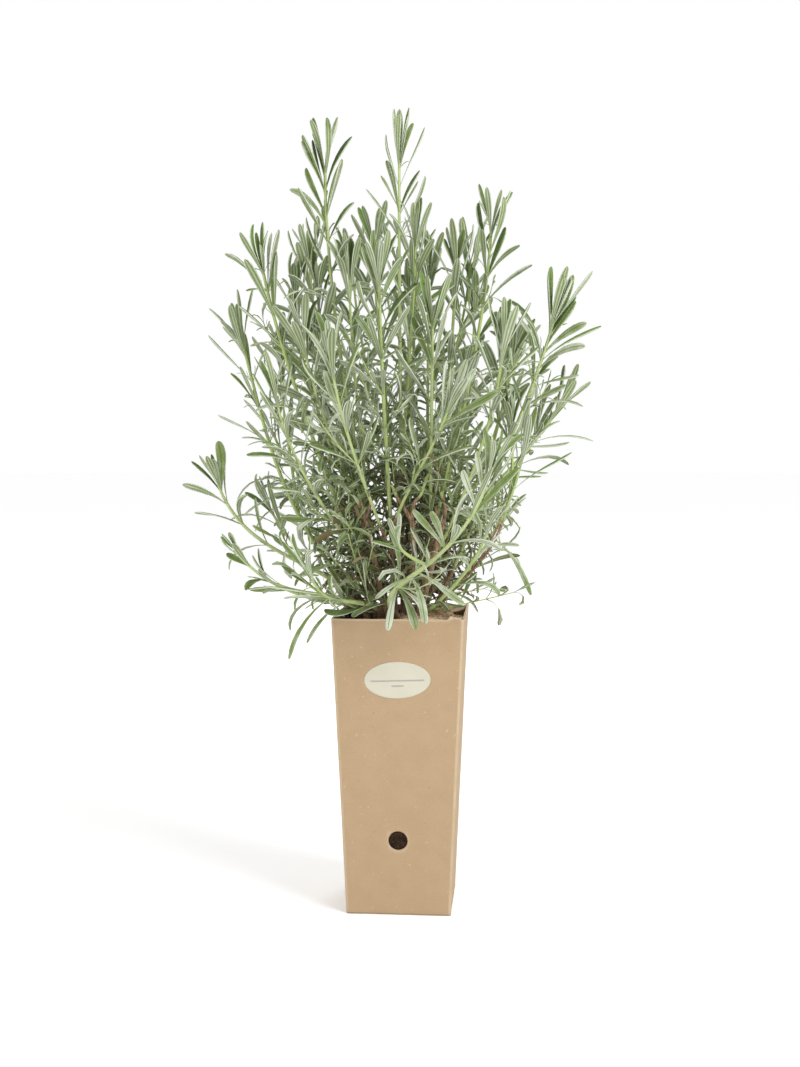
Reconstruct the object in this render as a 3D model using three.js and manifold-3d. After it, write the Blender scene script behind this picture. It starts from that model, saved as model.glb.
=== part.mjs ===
// A lavender plant in a tall, tapered carton of kraft board, in millimetres.
// +Z is up, the origin is the middle of the carton's base, and the front panel faces -Y.
import * as THREE from "three";
import { mergeVertices } from "three/addons/utils/BufferGeometryUtils.js";
import Module from "manifold-3d";

const wasm = await Module();
wasm.setup();

// The folded carton: half widths are measured to the outside of the board.
const CARTON = {
  height: 228,
  baseHalf: 40,
  topHalf: 50,
  board: 1.6,
  floor: 3,
  foldRadius: 2.5,
  rimWave: 0.5,
  rimWaveLength: 62,
};
const DRAIN_HOLE = { diameter: 15, height: 58, sides: 24 };
const BASE_FLAP = { edge: 14, length: 66, slit: 0.8, depth: 0.9 };

// The oval label, measured along the sloping front panel.
const LABEL = { width: 50, height: 28, middle: 182, thickness: 0.4, gap: 0.2, segments: 20 };

// The potting soil fills the carton to a little under its rim.
const SOIL = {
  level: 222,
  clearance: 0.4,
  cornerRadius: 1.5,
  lump: 1.6,
  broadLength: 52,
  smallLength: 16,
  ringShares: [1, 0.82, 0.6, 0.35],
};

// Every woody stem stands upright in a plain hole as far as footTop, and then leans out.
const STEM = {
  footBottom: 202,
  footTop: 226,
  baseRadius: 2.5,
  tipRadius: 1.3,
  forkShare: 0.85,
  lowControl: 0.33,
  highControl: 0.7,
  stepLength: 56,
  holeClearance: 0.5,
  holeSides: 6,
};

// Leaf pairs are counted from the tip of a shoot down: gap to the pair above, length,
// angle from the stem and width. The last value holds for all pairs further down.
const PAIR = {
  gap: [1, 6, 11, 17, 22, 25, 27],
  length: [34, 42, 47, 49, 48, 46, 43, 39, 35],
  angle: [13, 17, 20, 25, 31, 37, 43, 48, 53],
  width: [4.6, 5.4, 6, 6.2, 6, 5.6, 5, 4.5, 4],
  lowest: 14,
};
// How far leaves differ from those values. "curl" runs from the top pair's range to the
// range of pair "curlSettles" and below.
const VARIETY = {
  gap: 0.3,
  length: 0.24,
  width: 0.2,
  angle: 12,
  turn: 0.3,
  sway: 0.24,
  curlTop: [-14, 8],
  curlLow: [6, 64],
  curlSettles: 7,
};
const BLADE = { rootHalf: 0.45, clearance: 0.3 };
const BLADE_STATIONS = [
  { along: 0, share: 0, keel: 0.7 },
  { along: 0.36, share: 0.8, keel: 1.1 },
  { along: 0.74, share: 1, keel: 1.1 },
];

// The sprays: a woody foot on the soil, a leading shoot and the shoots that fork from it.
// "early" and "late" say how much of the way out is made by a third and two thirds up.
// "hanging" leaves droop over the rim: their heading is counted from +X, their tilt from +Z.
const SPRAYS = [
  {
    name: "spray_left_leader",
    foot: [-10, -4],
    shoots: [
      { apex: [-57, -20, 566], early: 0.5, late: 1 },
      { fork: 0.24, apex: [-38, -27, 482], early: 0.35, late: 0.95 },
      { fork: 0.16, apex: [-85, 14, 472], early: 0.5, late: 1 },
    ],
  },
  {
    name: "spray_centre_leader",
    foot: [0, 3],
    shoots: [
      { apex: [-2, -5, 572], early: 0.4, late: 1.2 },
      { fork: 0.2, apex: [-25, 27, 530], early: 0.4, late: 0.95 },
      { fork: 0.3, apex: [12, -30, 520], early: 0.3, late: 0.9 },
    ],
  },
  {
    name: "spray_right_leader",
    foot: [11, 3],
    shoots: [
      { apex: [68, -5, 521], early: 0.35, late: 0.92 },
      { fork: 0.2, apex: [41, 4, 505], early: 0.3, late: 0.9 },
      { fork: 0.12, apex: [19, 18, 490], early: 0.3, late: 0.9 },
    ],
  },
  {
    name: "spray_front_leader",
    foot: [-4, -12],
    shoots: [
      { apex: [-12, -62, 478], early: 0.35, late: 0.9 },
      { fork: 0.26, apex: [40, -85, 385], early: 0.2, late: 0.8 },
      { fork: 0.18, apex: [-45, -82, 420], early: 0.4, late: 0.9 },
    ],
  },
  {
    name: "spray_front_right",
    foot: [12, -10],
    shoots: [
      { apex: [48, -28, 402], early: 0.25, late: 0.8 },
      { fork: 0.3, apex: [26, -48, 448], early: 0.3, late: 0.9 },
      { fork: 0.16, apex: [78, -62, 430], early: 0.5, late: 0.95 },
    ],
  },
  {
    name: "spray_front_arching",
    foot: [-1, -26],
    shoots: [
      {
        apex: [70, -95, 338],
        controls: [[-25, -70, 262], [45, -97, 258]],
        hanging: [
          { share: 0.36, heading: 292, tilt: 122, curl: 50, length: 42, width: 6.2 },
          { share: 0.42, heading: 212, tilt: 100, curl: 45, length: 36, width: 4.4 },
          { share: 0.48, heading: 318, tilt: 112, curl: 55, length: 40, width: 6 },
          { share: 0.55, heading: 350, tilt: 118, curl: 38, length: 38, width: 5.2 },
        ],
      },
      { fork: 0.28, apex: [-8, -106, 326], early: 0.5, late: 1 },
    ],
  },
  {
    name: "spray_left_outer",
    foot: [-21, 0],
    shoots: [
      { apex: [-126, 0, 440], early: 0.75, late: 0.82 },
      { fork: 0.4, apex: [-100, 27, 425], early: 0.4, late: 0.95 },
    ],
  },
  {
    name: "spray_left_upper",
    foot: [-17, -13],
    shoots: [
      { apex: [-103, -32, 490], early: 0.36, late: 0.82 },
      { fork: 0.2, apex: [-86, -72, 390], early: 0.5, late: 0.9 },
    ],
  },
  {
    name: "spray_left_arching",
    foot: [-28, -8],
    shoots: [
      { apex: [-141, -20, 328], controls: [[-50, -14, 272], [-118, -20, 264]] },
      { fork: 0.34, apex: [-104, 6, 306], early: 0.4, late: 0.8 },
    ],
  },
  {
    name: "spray_left_low",
    foot: [-25, -20],
    shoots: [
      { apex: [-93, -40, 253], controls: [[-34, -25, 248], [-64, -36, 240]] },
    ],
  },
  {
    name: "spray_front_low",
    foot: [-13, -25],
    shoots: [
      {
        apex: [-61, -74, 262],
        controls: [[-20, -44, 250], [-52, -70, 232]],
        hanging: [
          { share: 0.5, heading: 197, tilt: 104, curl: 56, length: 43, width: 3.8 },
          { share: 0.72, heading: 183, tilt: 128, curl: 42, length: 56, width: 4.8 },
        ],
      },
    ],
  },
  {
    name: "spray_right_outer",
    foot: [23, 1],
    shoots: [
      { apex: [117, 0, 456], early: 0.36, late: 0.8 },
      { fork: 0.3, apex: [82, 30, 428], early: 0.35, late: 0.95 },
      { fork: 0.42, apex: [121, 24, 388], early: 0.4, late: 0.8 },
    ],
  },
  {
    name: "spray_right_low",
    foot: [26, -11],
    shoots: [
      {
        apex: [84, -8, 372],
        controls: [[44, -8, 266], [92, -8, 264]],
        hanging: [
          { share: 0.46, heading: 350, tilt: 125, curl: 50, length: 52, width: 4 },
        ],
      },
      { fork: 0.3, apex: [93, -48, 356], early: 0.5, late: 0.95 },
    ],
  },
  {
    name: "spray_front_corner",
    foot: [15, -23],
    shoots: [
      { apex: [68, -84, 298], early: 0.5, late: 0.9 },
    ],
  },
  {
    name: "spray_back_centre",
    foot: [1, 16],
    shoots: [
      { apex: [5, 70, 530], early: 0.35, late: 0.9 },
      { fork: 0.22, apex: [-45, 60, 500], early: 0.4, late: 0.95 },
      { fork: 0.3, apex: [50, 62, 506], early: 0.4, late: 0.95 },
    ],
  },
  {
    name: "spray_back_left",
    foot: [-14, 13],
    shoots: [
      { apex: [-80, 75, 440], early: 0.35, late: 0.9 },
      { fork: 0.2, apex: [-60, 115, 390], early: 0.4, late: 0.95 },
      { fork: 0.26, apex: [-112, 62, 368], early: 0.4, late: 0.9 },
    ],
  },
  {
    name: "spray_back_right",
    foot: [16, 13],
    shoots: [
      { apex: [85, 80, 430], early: 0.35, late: 0.9 },
      { fork: 0.2, apex: [44, 122, 384], early: 0.4, late: 0.95 },
      { fork: 0.26, apex: [104, 60, 372], early: 0.4, late: 0.9 },
    ],
  },
  {
    name: "spray_back_low",
    foot: [1, 28],
    shoots: [
      { apex: [8, 140, 330], early: 0.5, late: 0.9 },
    ],
  },
  {
    name: "spray_back_low_left",
    foot: [-18, 25],
    shoots: [
      { apex: [-92, 98, 300], early: 0.5, late: 0.85 },
    ],
  },
  {
    name: "spray_back_low_right",
    foot: [20, 25],
    shoots: [
      { apex: [74, 96, 296], early: 0.5, late: 0.85 },
    ],
  },
];

const BOARD_FINISH = new THREE.MeshStandardMaterial({ color: 0xc4a883, roughness: 0.85 });
const LABEL_FINISH = new THREE.MeshStandardMaterial({ color: 0xe3ddc8, roughness: 0.6 });
const SOIL_FINISH = new THREE.MeshStandardMaterial({ color: 0x4a3424, roughness: 1 });
const LEAF_FINISH = new THREE.MeshStandardMaterial({ color: 0x7d916e, roughness: 0.75 });

const UP = new THREE.Vector3(0, 0, 1);

// Closed solids from three.js geometry, and back.
function solidOf(geometry) {
  const bare = geometry.clone();
  bare.deleteAttribute("normal");
  bare.deleteAttribute("uv");
  const merged = mergeVertices(bare);
  return new wasm.Manifold(new wasm.Mesh({
    numProp: 3,
    vertProperties: new Float32Array(merged.getAttribute("position").array),
    triVerts: new Uint32Array(merged.index.array),
  }));
}

function meshOf(name, solid, finish) {
  const shape = solid.getMesh();
  const geometry = new THREE.BufferGeometry();
  geometry.setAttribute("position", new THREE.BufferAttribute(shape.vertProperties, 3));
  geometry.setIndex(new THREE.BufferAttribute(shape.triVerts, 1));
  geometry.computeVertexNormals();
  const mesh = new THREE.Mesh(geometry, finish);
  mesh.name = name;
  return mesh;
}

// A closed skin over a row of rings. A ring of one point closes an end in a tip.
function ringLoft(rings) {
  const indices = [];
  let first = 0;
  for (let i = 0; i + 1 < rings.length; i += 1) {
    const count = rings[i].length;
    const next = first + count;
    for (let j = 0; j < count; j += 1) {
      const k = (j + 1) % count;
      if (rings[i + 1].length === 1) {
        indices.push(first + j, first + k, next);
      } else {
        indices.push(first + j, first + k, next + k, first + j, next + k, next + j);
      }
    }
    first = next;
  }
  for (let j = 1; j + 1 < rings[0].length; j += 1) {
    indices.push(0, j + 1, j);
  }
  for (let j = 1; j + 1 < rings.at(-1).length; j += 1) {
    indices.push(first, first + j, first + j + 1);
  }
  const geometry = new THREE.BufferGeometry().setFromPoints(rings.flat());
  geometry.setIndex(indices);
  return geometry;
}

// A square ring with rounded folds and a few points along each straight panel.
function squareRing(half, radius, heightAt) {
  const ring = [];
  const foldSteps = 3;
  const panelSteps = 4;
  for (let side = 0; side < 4; side += 1) {
    const turn = (side * Math.PI) / 2;
    const place = (x, y) => {
      const point = new THREE.Vector3(x, y, 0).applyAxisAngle(UP, turn);
      point.z = heightAt(point.x, point.y);
      ring.push(point);
    };
    for (let i = 0; i < foldSteps; i += 1) {
      const angle = (i / foldSteps) * (Math.PI / 2);
      const middle = half - radius;
      place(middle + radius * Math.cos(angle), middle + radius * Math.sin(angle));
    }
    for (let i = 0; i < panelSteps; i += 1) {
      place((half - radius) * (1 - (2 * i) / panelSteps), half);
    }
  }
  return ring;
}

function wave(distance, length) {
  return Math.sin((2 * Math.PI * distance) / length);
}

function panelHalf(z) {
  return CARTON.baseHalf + ((CARTON.topHalf - CARTON.baseHalf) * z) / CARTON.height;
}

// The carton: four sloping panels with folded edges, a folded floor and a raw rim.
function makeCarton() {
  const rimHeight = (x, y) =>
    CARTON.height + CARTON.rimWave * wave(x + 4, CARTON.rimWaveLength) * wave(y + 12, CARTON.rimWaveLength);
  const outside = ringLoft([
    squareRing(CARTON.baseHalf, CARTON.foldRadius, () => 0),
    squareRing(CARTON.topHalf, CARTON.foldRadius, rimHeight),
    [new THREE.Vector3(0, 0, CARTON.height)],
  ]);
  const overshoot = CARTON.height + DRAIN_HOLE.diameter;
  const innerRadius = CARTON.foldRadius - CARTON.board;
  const inside = ringLoft([
    squareRing(panelHalf(CARTON.floor) - CARTON.board, innerRadius, () => CARTON.floor),
    squareRing(panelHalf(overshoot) - CARTON.board, innerRadius, () => overshoot),
  ]);
  const holeRadius = DRAIN_HOLE.diameter / 2;
  const hole = new THREE.CylinderGeometry(
    holeRadius,
    holeRadius,
    4 * CARTON.board,
    DRAIN_HOLE.sides,
  );
  hole.translate(0, -panelHalf(DRAIN_HOLE.height) + CARTON.board, DRAIN_HOLE.height);
  const slit = new THREE.BoxGeometry(BASE_FLAP.length, BASE_FLAP.slit, 2 * BASE_FLAP.depth);
  slit.translate(0, BASE_FLAP.edge, 0);
  const solid = solidOf(outside)
    .subtract(solidOf(inside))
    .subtract(solidOf(hole))
    .subtract(solidOf(slit));
  return meshOf("carton_pot", solid, BOARD_FINISH);
}

// The paper oval lies on the slope of the front panel.
function makeLabel() {
  const oval = new THREE.Shape();
  oval.absellipse(0, 0, LABEL.width / 2, LABEL.height / 2, 0, 2 * Math.PI);
  const geometry = new THREE.ExtrudeGeometry(oval, {
    depth: LABEL.thickness,
    bevelEnabled: false,
    curveSegments: LABEL.segments,
  });
  const slope = Math.atan((CARTON.topHalf - CARTON.baseHalf) / CARTON.height);
  geometry.rotateX(Math.PI / 2);
  geometry.translate(0, -LABEL.gap, 0);
  geometry.rotateX(slope);
  geometry.translate(0, -panelHalf(LABEL.middle), LABEL.middle);
  return meshOf("oval_label", solidOf(geometry), LABEL_FINISH);
}

function lumpHeight(x, y) {
  const broad = wave(x + 8, SOIL.broadLength) * wave(y + 16, SOIL.broadLength);
  const small = wave(x - 0.9 * y, SOIL.smallLength);
  return SOIL.level + SOIL.lump * (0.65 * broad + 0.35 * small);
}

// The soil fills the carton, and has one plain hole for the foot of each woody stem.
function makeSoil() {
  const bottom = CARTON.floor + SOIL.clearance;
  const halfAt = (z) => panelHalf(z) - CARTON.board - SOIL.clearance;
  const rings = [squareRing(halfAt(bottom), SOIL.cornerRadius, () => bottom)];
  for (const share of SOIL.ringShares) {
    const half = share * halfAt(SOIL.level - SOIL.lump);
    rings.push(squareRing(half, share * SOIL.cornerRadius, lumpHeight));
  }
  rings.push([new THREE.Vector3(0, 0, lumpHeight(0, 0))]);
  let solid = solidOf(ringLoft(rings));
  const depth = STEM.footTop - STEM.footBottom + 2 * STEM.holeClearance;
  const flatToCorner = 1 / Math.cos(Math.PI / STEM.holeSides);
  const radius = (STEM.baseRadius + STEM.holeClearance) * flatToCorner;
  for (const spray of SPRAYS) {
    const hole = new THREE.CylinderGeometry(radius, radius, depth, STEM.holeSides);
    hole.rotateX(Math.PI / 2);
    hole.translate(...spray.foot, STEM.footBottom - STEM.holeClearance + depth / 2);
    solid = solid.subtract(solidOf(hole));
  }
  return { mesh: meshOf("potting_soil", solid, SOIL_FINISH), solid };
}

// A shoot's centre line leaves its start upright and swings out to its apex.
function shootCurve(start, shoot) {
  const apex = new THREE.Vector3(...shoot.apex);
  if (shoot.controls) {
    const [low, high] = shoot.controls.map((point) => new THREE.Vector3(...point));
    return new THREE.CubicBezierCurve3(start, low, high, apex);
  }
  const way = apex.clone().sub(start);
  const partWay = (outward, upward) =>
    start.clone().add(way.clone().multiply(new THREE.Vector3(outward, outward, upward)));
  const low = partWay(shoot.early, STEM.lowControl);
  const high = partWay(shoot.late, STEM.highControl);
  return new THREE.CubicBezierCurve3(start, low, high, apex);
}

// A repeatable draw between 0 and 1.
function drawFrom(seed) {
  let state = seed;
  return () => {
    state = (state * 1664525 + 1013904223) % 4294967296;
    return state / 4294967296;
  };
}

function pick(list, index) {
  return list[Math.min(index, list.length - 1)];
}

// The stem's own frame at a share of its length: along it, and two directions across it.
function stemFrame(shoot, share) {
  const along = shoot.curve.getTangentAt(share);
  const first = shoot.across.clone()
    .addScaledVector(along, -shoot.across.dot(along))
    .normalize();
  const second = new THREE.Vector3().crossVectors(along, first);
  return { at: shoot.curve.getPointAt(share), along, first, second };
}

function stemSteps(shoot) {
  return Math.max(4, Math.ceil(shoot.length / STEM.stepLength));
}

// The same point on the straight stretches of the faceted stem, where leaves take root.
function stemCore(shoot, share) {
  const steps = stemSteps(shoot);
  const step = Math.min(steps - 1, Math.floor(share * steps));
  const low = shoot.curve.getPointAt(step / steps);
  const high = shoot.curve.getPointAt((step + 1) / steps);
  return low.lerp(high, share * steps - step);
}

// A square stem, as the mint family has, that tapers from its start to its apex.
function stemGeometry(shoot) {
  const steps = stemSteps(shoot);
  const rings = [];
  const square = (at, first, second, radius) => [0, 1, 2, 3].map((corner) => {
    const angle = (corner * Math.PI) / 2;
    return at.clone()
      .addScaledVector(first, radius * Math.cos(angle))
      .addScaledVector(second, radius * Math.sin(angle));
  });
  if (shoot.fork === undefined) {
    const { first, second } = stemFrame(shoot, 0);
    const flatFirst = first.clone().setZ(0).normalize();
    const flatSecond = second.clone().setZ(0).normalize();
    const foot = shoot.curve.getPoint(0).setZ(STEM.footBottom);
    rings.push(square(foot, flatFirst, flatSecond, shoot.radius));
  }
  for (let i = 0; i <= steps; i += 1) {
    const { at, first, second } = stemFrame(shoot, i / steps);
    const radius = THREE.MathUtils.lerp(shoot.radius, STEM.tipRadius, i / steps);
    rings.push(square(at, first, second, radius));
  }
  return ringLoft(rings);
}

// One leaf: an arc in the plane of "along" and "out", bent a little to its side, flat on
// its upper face and with a keel below.
function leafGeometry(leaf, grow) {
  const { at, along, out, angle, curl, sway, length, width } = leaf;
  const side = new THREE.Vector3().crossVectors(along, out);
  const place = (u) => {
    const bend = Math.abs(curl) < 0.01 ? 0.01 : curl;
    const rise = (Math.sin(angle + bend * u) - Math.sin(angle)) / bend;
    const reach = (Math.cos(angle) - Math.cos(angle + bend * u)) / bend;
    return at.clone()
      .addScaledVector(along, length * rise)
      .addScaledVector(out, length * reach)
      .addScaledVector(side, length * sway * u * u);
  };
  const rings = BLADE_STATIONS.map((station) => {
    const theta = angle + curl * station.along;
    const upper = along.clone().multiplyScalar(Math.sin(theta))
      .addScaledVector(out, -Math.cos(theta));
    const half = grow + Math.max(BLADE.rootHalf, (station.share * width) / 2);
    const middle = place(station.along).addScaledVector(upper, station.keel / 3 + grow);
    const leftEdge = middle.clone().addScaledVector(side, half);
    const rightEdge = middle.clone().addScaledVector(side, -half);
    const keel = middle.clone().addScaledVector(upper, -station.keel - 2 * grow);
    return [leftEdge, rightEdge, keel];
  });
  rings.push([place(1 + grow / length)]);
  return ringLoft(rings);
}

// The leaf pairs of one shoot, from its apex down, each pair set across the last.
function leavesOf(shoot, draw) {
  const leaves = [];
  let below = 0;
  const turned = Math.PI * draw();
  for (let pair = 0; ; pair += 1) {
    below += pick(PAIR.gap, pair) * (1 + VARIETY.gap * (draw() - 0.5));
    if (below > shoot.length - PAIR.lowest) {
      return leaves;
    }
    const share = 1 - below / shoot.length;
    const frame = stemFrame(shoot, share);
    const spin = turned + (pair * Math.PI) / 2 + VARIETY.turn * (draw() - 0.5);
    const settled = Math.min(1, pair / VARIETY.curlSettles);
    const curlRange = [0, 1].map((end) =>
      THREE.MathUtils.lerp(VARIETY.curlTop[end], VARIETY.curlLow[end], settled));
    for (const side of [0, 1]) {
      const around = spin + side * Math.PI;
      leaves.push({
        pair,
        side,
        at: stemCore(shoot, share),
        along: frame.along,
        out: frame.first.clone().multiplyScalar(Math.cos(around))
          .addScaledVector(frame.second, Math.sin(around)),
        length: pick(PAIR.length, pair) * (1 + VARIETY.length * (draw() - 0.5)),
        width: pick(PAIR.width, pair) * (1 + VARIETY.width * (draw() - 0.5)),
        angle: THREE.MathUtils.degToRad(pick(PAIR.angle, pair) + VARIETY.angle * (draw() - 0.5)),
        curl: THREE.MathUtils.degToRad(THREE.MathUtils.lerp(...curlRange, draw())),
        sway: VARIETY.sway * (draw() - 0.5),
      });
    }
  }
}

function hangingLeaves(shoot) {
  return (shoot.hanging ?? []).map((row) => {
    const heading = THREE.MathUtils.degToRad(row.heading);
    return {
      pair: 0,
      side: 0,
      at: stemCore(shoot, row.share),
      along: UP,
      out: new THREE.Vector3(Math.cos(heading), Math.sin(heading), 0),
      length: row.length,
      width: row.width,
      angle: THREE.MathUtils.degToRad(row.tilt),
      curl: THREE.MathUtils.degToRad(row.curl),
      sway: 0,
    };
  });
}

// All shoots of a spray, with their centre lines, sizes and leaves.
function growSpray(spray, sprayIndex) {
  const shoots = [];
  spray.shoots.forEach((row, shootIndex) => {
    const parent = shoots[0];
    const start = parent
      ? stemCore(parent, row.fork)
      : new THREE.Vector3(...spray.foot, STEM.footTop);
    const curve = shootCurve(start, row);
    const reach = new THREE.Vector3(...row.apex).sub(start);
    const across = new THREE.Vector3().crossVectors(UP, reach).normalize();
    const radius = parent
      ? STEM.forkShare * THREE.MathUtils.lerp(parent.radius, STEM.tipRadius, row.fork)
      : STEM.baseRadius;
    const shoot = { ...row, curve, across, radius, length: curve.getLength() };
    const draw = drawFrom(1000 * (sprayIndex + 1) + 10 * shootIndex + 7);
    shoot.leaves = [...hangingLeaves(shoot), ...leavesOf(shoot, draw)];
    shoots.push(shoot);
  });
  return shoots;
}

// Both leaves of the two top pairs are kept, then one of each pair in turn, and lower
// down one of every second pair.
function isKept(leaf) {
  const fullPairs = 2;
  const closePairs = 6;
  if (leaf.pair < fullPairs) {
    return true;
  }
  const turn = leaf.pair < closePairs ? leaf.pair : leaf.pair / 2;
  return leaf.side === turn % 2;
}

function boxesMeet(a, b) {
  return [0, 1, 2].every((axis) => a.min[axis] < b.max[axis] && b.min[axis] < a.max[axis]);
}

// The outer skin alone: a hollow that crossing leaves have closed off is filled.
function outerBody(solid) {
  return solid.decompose().sort((a, b) => b.volume() - a.volume())[0];
}

// A leaf is left off where it would cross another spray, the soil or the carton.
function makeSprays(fixedSolids) {
  const taken = fixedSolids.map((solid) => ({ owner: -1, solid, box: solid.boundingBox() }));
  const sprays = SPRAYS.map(growSpray);
  const claim = (owner, solid) => taken.push({ owner, solid, box: solid.boundingBox() });
  sprays.forEach((shoots, owner) => {
    shoots.forEach((shoot) => claim(owner, solidOf(stemGeometry(shoot))));
  });
  const wanted = sprays.flatMap((shoots, owner) =>
    shoots.flatMap((shoot) => shoot.leaves.filter(isKept).map((leaf) => ({ owner, leaf }))));
  wanted.sort((a, b) => a.leaf.pair - b.leaf.pair);
  for (const { owner, leaf } of wanted) {
    const roomy = solidOf(leafGeometry(leaf, BLADE.clearance));
    const box = roomy.boundingBox();
    const blocked = taken.some((other) => other.owner !== owner
      && boxesMeet(box, other.box)
      && !roomy.intersect(other.solid).isEmpty());
    if (!blocked) {
      claim(owner, solidOf(leafGeometry(leaf, 0)));
    }
  }
  return SPRAYS.map((spray, owner) => {
    const own = taken.filter((piece) => piece.owner === owner).map((piece) => piece.solid);
    const grown = outerBody(own.reduce((whole, piece) => whole.add(piece)));
    return meshOf(spray.name, grown, LEAF_FINISH);
  });
}

const carton = makeCarton();
const soil = makeSoil();
const plant = new THREE.Group();
plant.add(carton, makeLabel(), soil.mesh);
plant.add(...makeSprays([solidOf(carton.geometry), soil.solid]));

export default plant;
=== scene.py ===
"""A young lavender in a tall, tapered kraft carton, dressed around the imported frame.

Lengths are in metres. +Z is up and the carton's front panel faces -Y.
"""

import logging
import math
from dataclasses import dataclass, field, replace
from enum import Enum

import bmesh
import bpy
import numpy as np
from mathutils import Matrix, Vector


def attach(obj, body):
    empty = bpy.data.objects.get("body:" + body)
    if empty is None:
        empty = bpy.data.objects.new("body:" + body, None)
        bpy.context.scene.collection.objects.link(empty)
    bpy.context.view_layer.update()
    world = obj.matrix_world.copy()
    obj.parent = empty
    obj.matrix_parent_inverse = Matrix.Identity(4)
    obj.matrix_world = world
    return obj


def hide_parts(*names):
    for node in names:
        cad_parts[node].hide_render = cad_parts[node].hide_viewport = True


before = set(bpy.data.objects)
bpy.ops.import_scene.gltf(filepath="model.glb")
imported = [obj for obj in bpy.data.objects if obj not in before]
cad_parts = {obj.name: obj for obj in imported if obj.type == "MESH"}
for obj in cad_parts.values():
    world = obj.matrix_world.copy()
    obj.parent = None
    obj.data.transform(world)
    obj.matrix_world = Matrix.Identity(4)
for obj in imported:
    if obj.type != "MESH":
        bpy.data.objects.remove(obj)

log = logging.getLogger("lavender")

Point = tuple[float, float, float]
Colour = tuple[float, float, float]
Pair = tuple[float, float]
Ramp = tuple[float, ...]  # A smooth step: from, to, and its bottom and top if not 0 and 1.

MM = 0.001
UP = np.array([0.0, 0.0, 1.0])
FULL_TURN = 2 * math.pi


# Numbers: directions, soft steps and repeatable noise.


def unit(vectors: np.ndarray) -> np.ndarray:
    """Vectors of length one, along the last axis."""
    return vectors / np.linalg.norm(vectors, axis=-1, keepdims=True)


def soft_step(values: np.ndarray | float, low: float, high: float) -> np.ndarray:
    """A smooth step from 0 at low to 1 at high."""
    share = np.clip((np.asarray(values, float) - low) / (high - low), 0, 1)
    return share * share * (3 - 2 * share)


@dataclass(frozen=True)
class Fade:
    """A smooth step from 0 at its start to 1 at its end, which may be the lower one."""

    start: float
    end: float

    def at(self, values: np.ndarray) -> np.ndarray:
        """The step's height at many values."""
        return soft_step(values, self.start, self.end)

    def of(self, value: float) -> float:
        """The step's height at one value."""
        return float(soft_step(value, self.start, self.end))


HASH_STEPS = (73856093, 19349663, 83492791)
HASH_SEED = 2654435761
HASH_MIXES = ((15, 2246822519), (13, 3266489917))
HASH_TOP = 0xFFFFFFFF
HASH_FOLD = 16


def lattice_noise(points: np.ndarray, size: float, seed: int) -> np.ndarray:
    """Smooth value noise between -1 and 1.

    Args:
        points: Places to read it at, one row each.
        size: Width of one lump, in metres.
        seed: Chooses the pattern.

    Returns:
        One value for each row.
    """
    scaled = points / size
    cell = np.floor(scaled).astype(np.int64)
    part = scaled - cell
    part = part * part * (3 - 2 * part)
    total = np.zeros(len(points))
    for corner in np.ndindex(2, 2, 2):
        keys = (cell + np.array(corner)) * np.array(HASH_STEPS)
        mixed = (keys[:, 0] ^ keys[:, 1] ^ keys[:, 2] ^ (seed * HASH_SEED)) & HASH_TOP
        for shift, factor in HASH_MIXES:
            mixed = ((mixed ^ (mixed >> shift)) * factor) & HASH_TOP
        value = (mixed ^ (mixed >> HASH_FOLD)) / HASH_TOP
        weight = np.prod(np.where(np.array(corner) == 1, part, 1 - part), axis=1)
        total += weight * (2 * value - 1)
    return total


@dataclass(frozen=True)
class Lumps:
    """A layer of noise: its greatest height, the width of one lump and its pattern."""

    height: float
    size: float
    seed: int

    def at(self, points: np.ndarray) -> np.ndarray:
        """Its value at each point, between minus and plus its height."""
        return self.height * lattice_noise(points, self.size, self.seed)


def layered(points: np.ndarray, layers: tuple[Lumps, ...]) -> np.ndarray:
    """The sum of some layers of noise at each point."""
    return sum(layer.at(points) for layer in layers)


def on_ground(flat: np.ndarray) -> np.ndarray:
    """The places below or above the given ones, at a height of 0."""
    return np.column_stack([flat[:, :2], np.zeros(len(flat))])


def turned(vector: np.ndarray, axis: np.ndarray, angle: float) -> np.ndarray:
    """The vector turned about a unit axis."""
    across = vector * math.cos(angle) + np.cross(axis, vector) * math.sin(angle)
    return across + axis * float(axis @ vector) * (1 - math.cos(angle))


# Meshes: blocks of vertices and faces that become one object.


def set_mark(mesh: bpy.types.Mesh, name: str, values: np.ndarray) -> None:
    """Stores one number for each vertex, for the finishes to read."""
    layer = mesh.attributes.new(name, "FLOAT", "POINT")
    layer.data.foreach_set("value", values.astype(np.float32))


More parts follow.
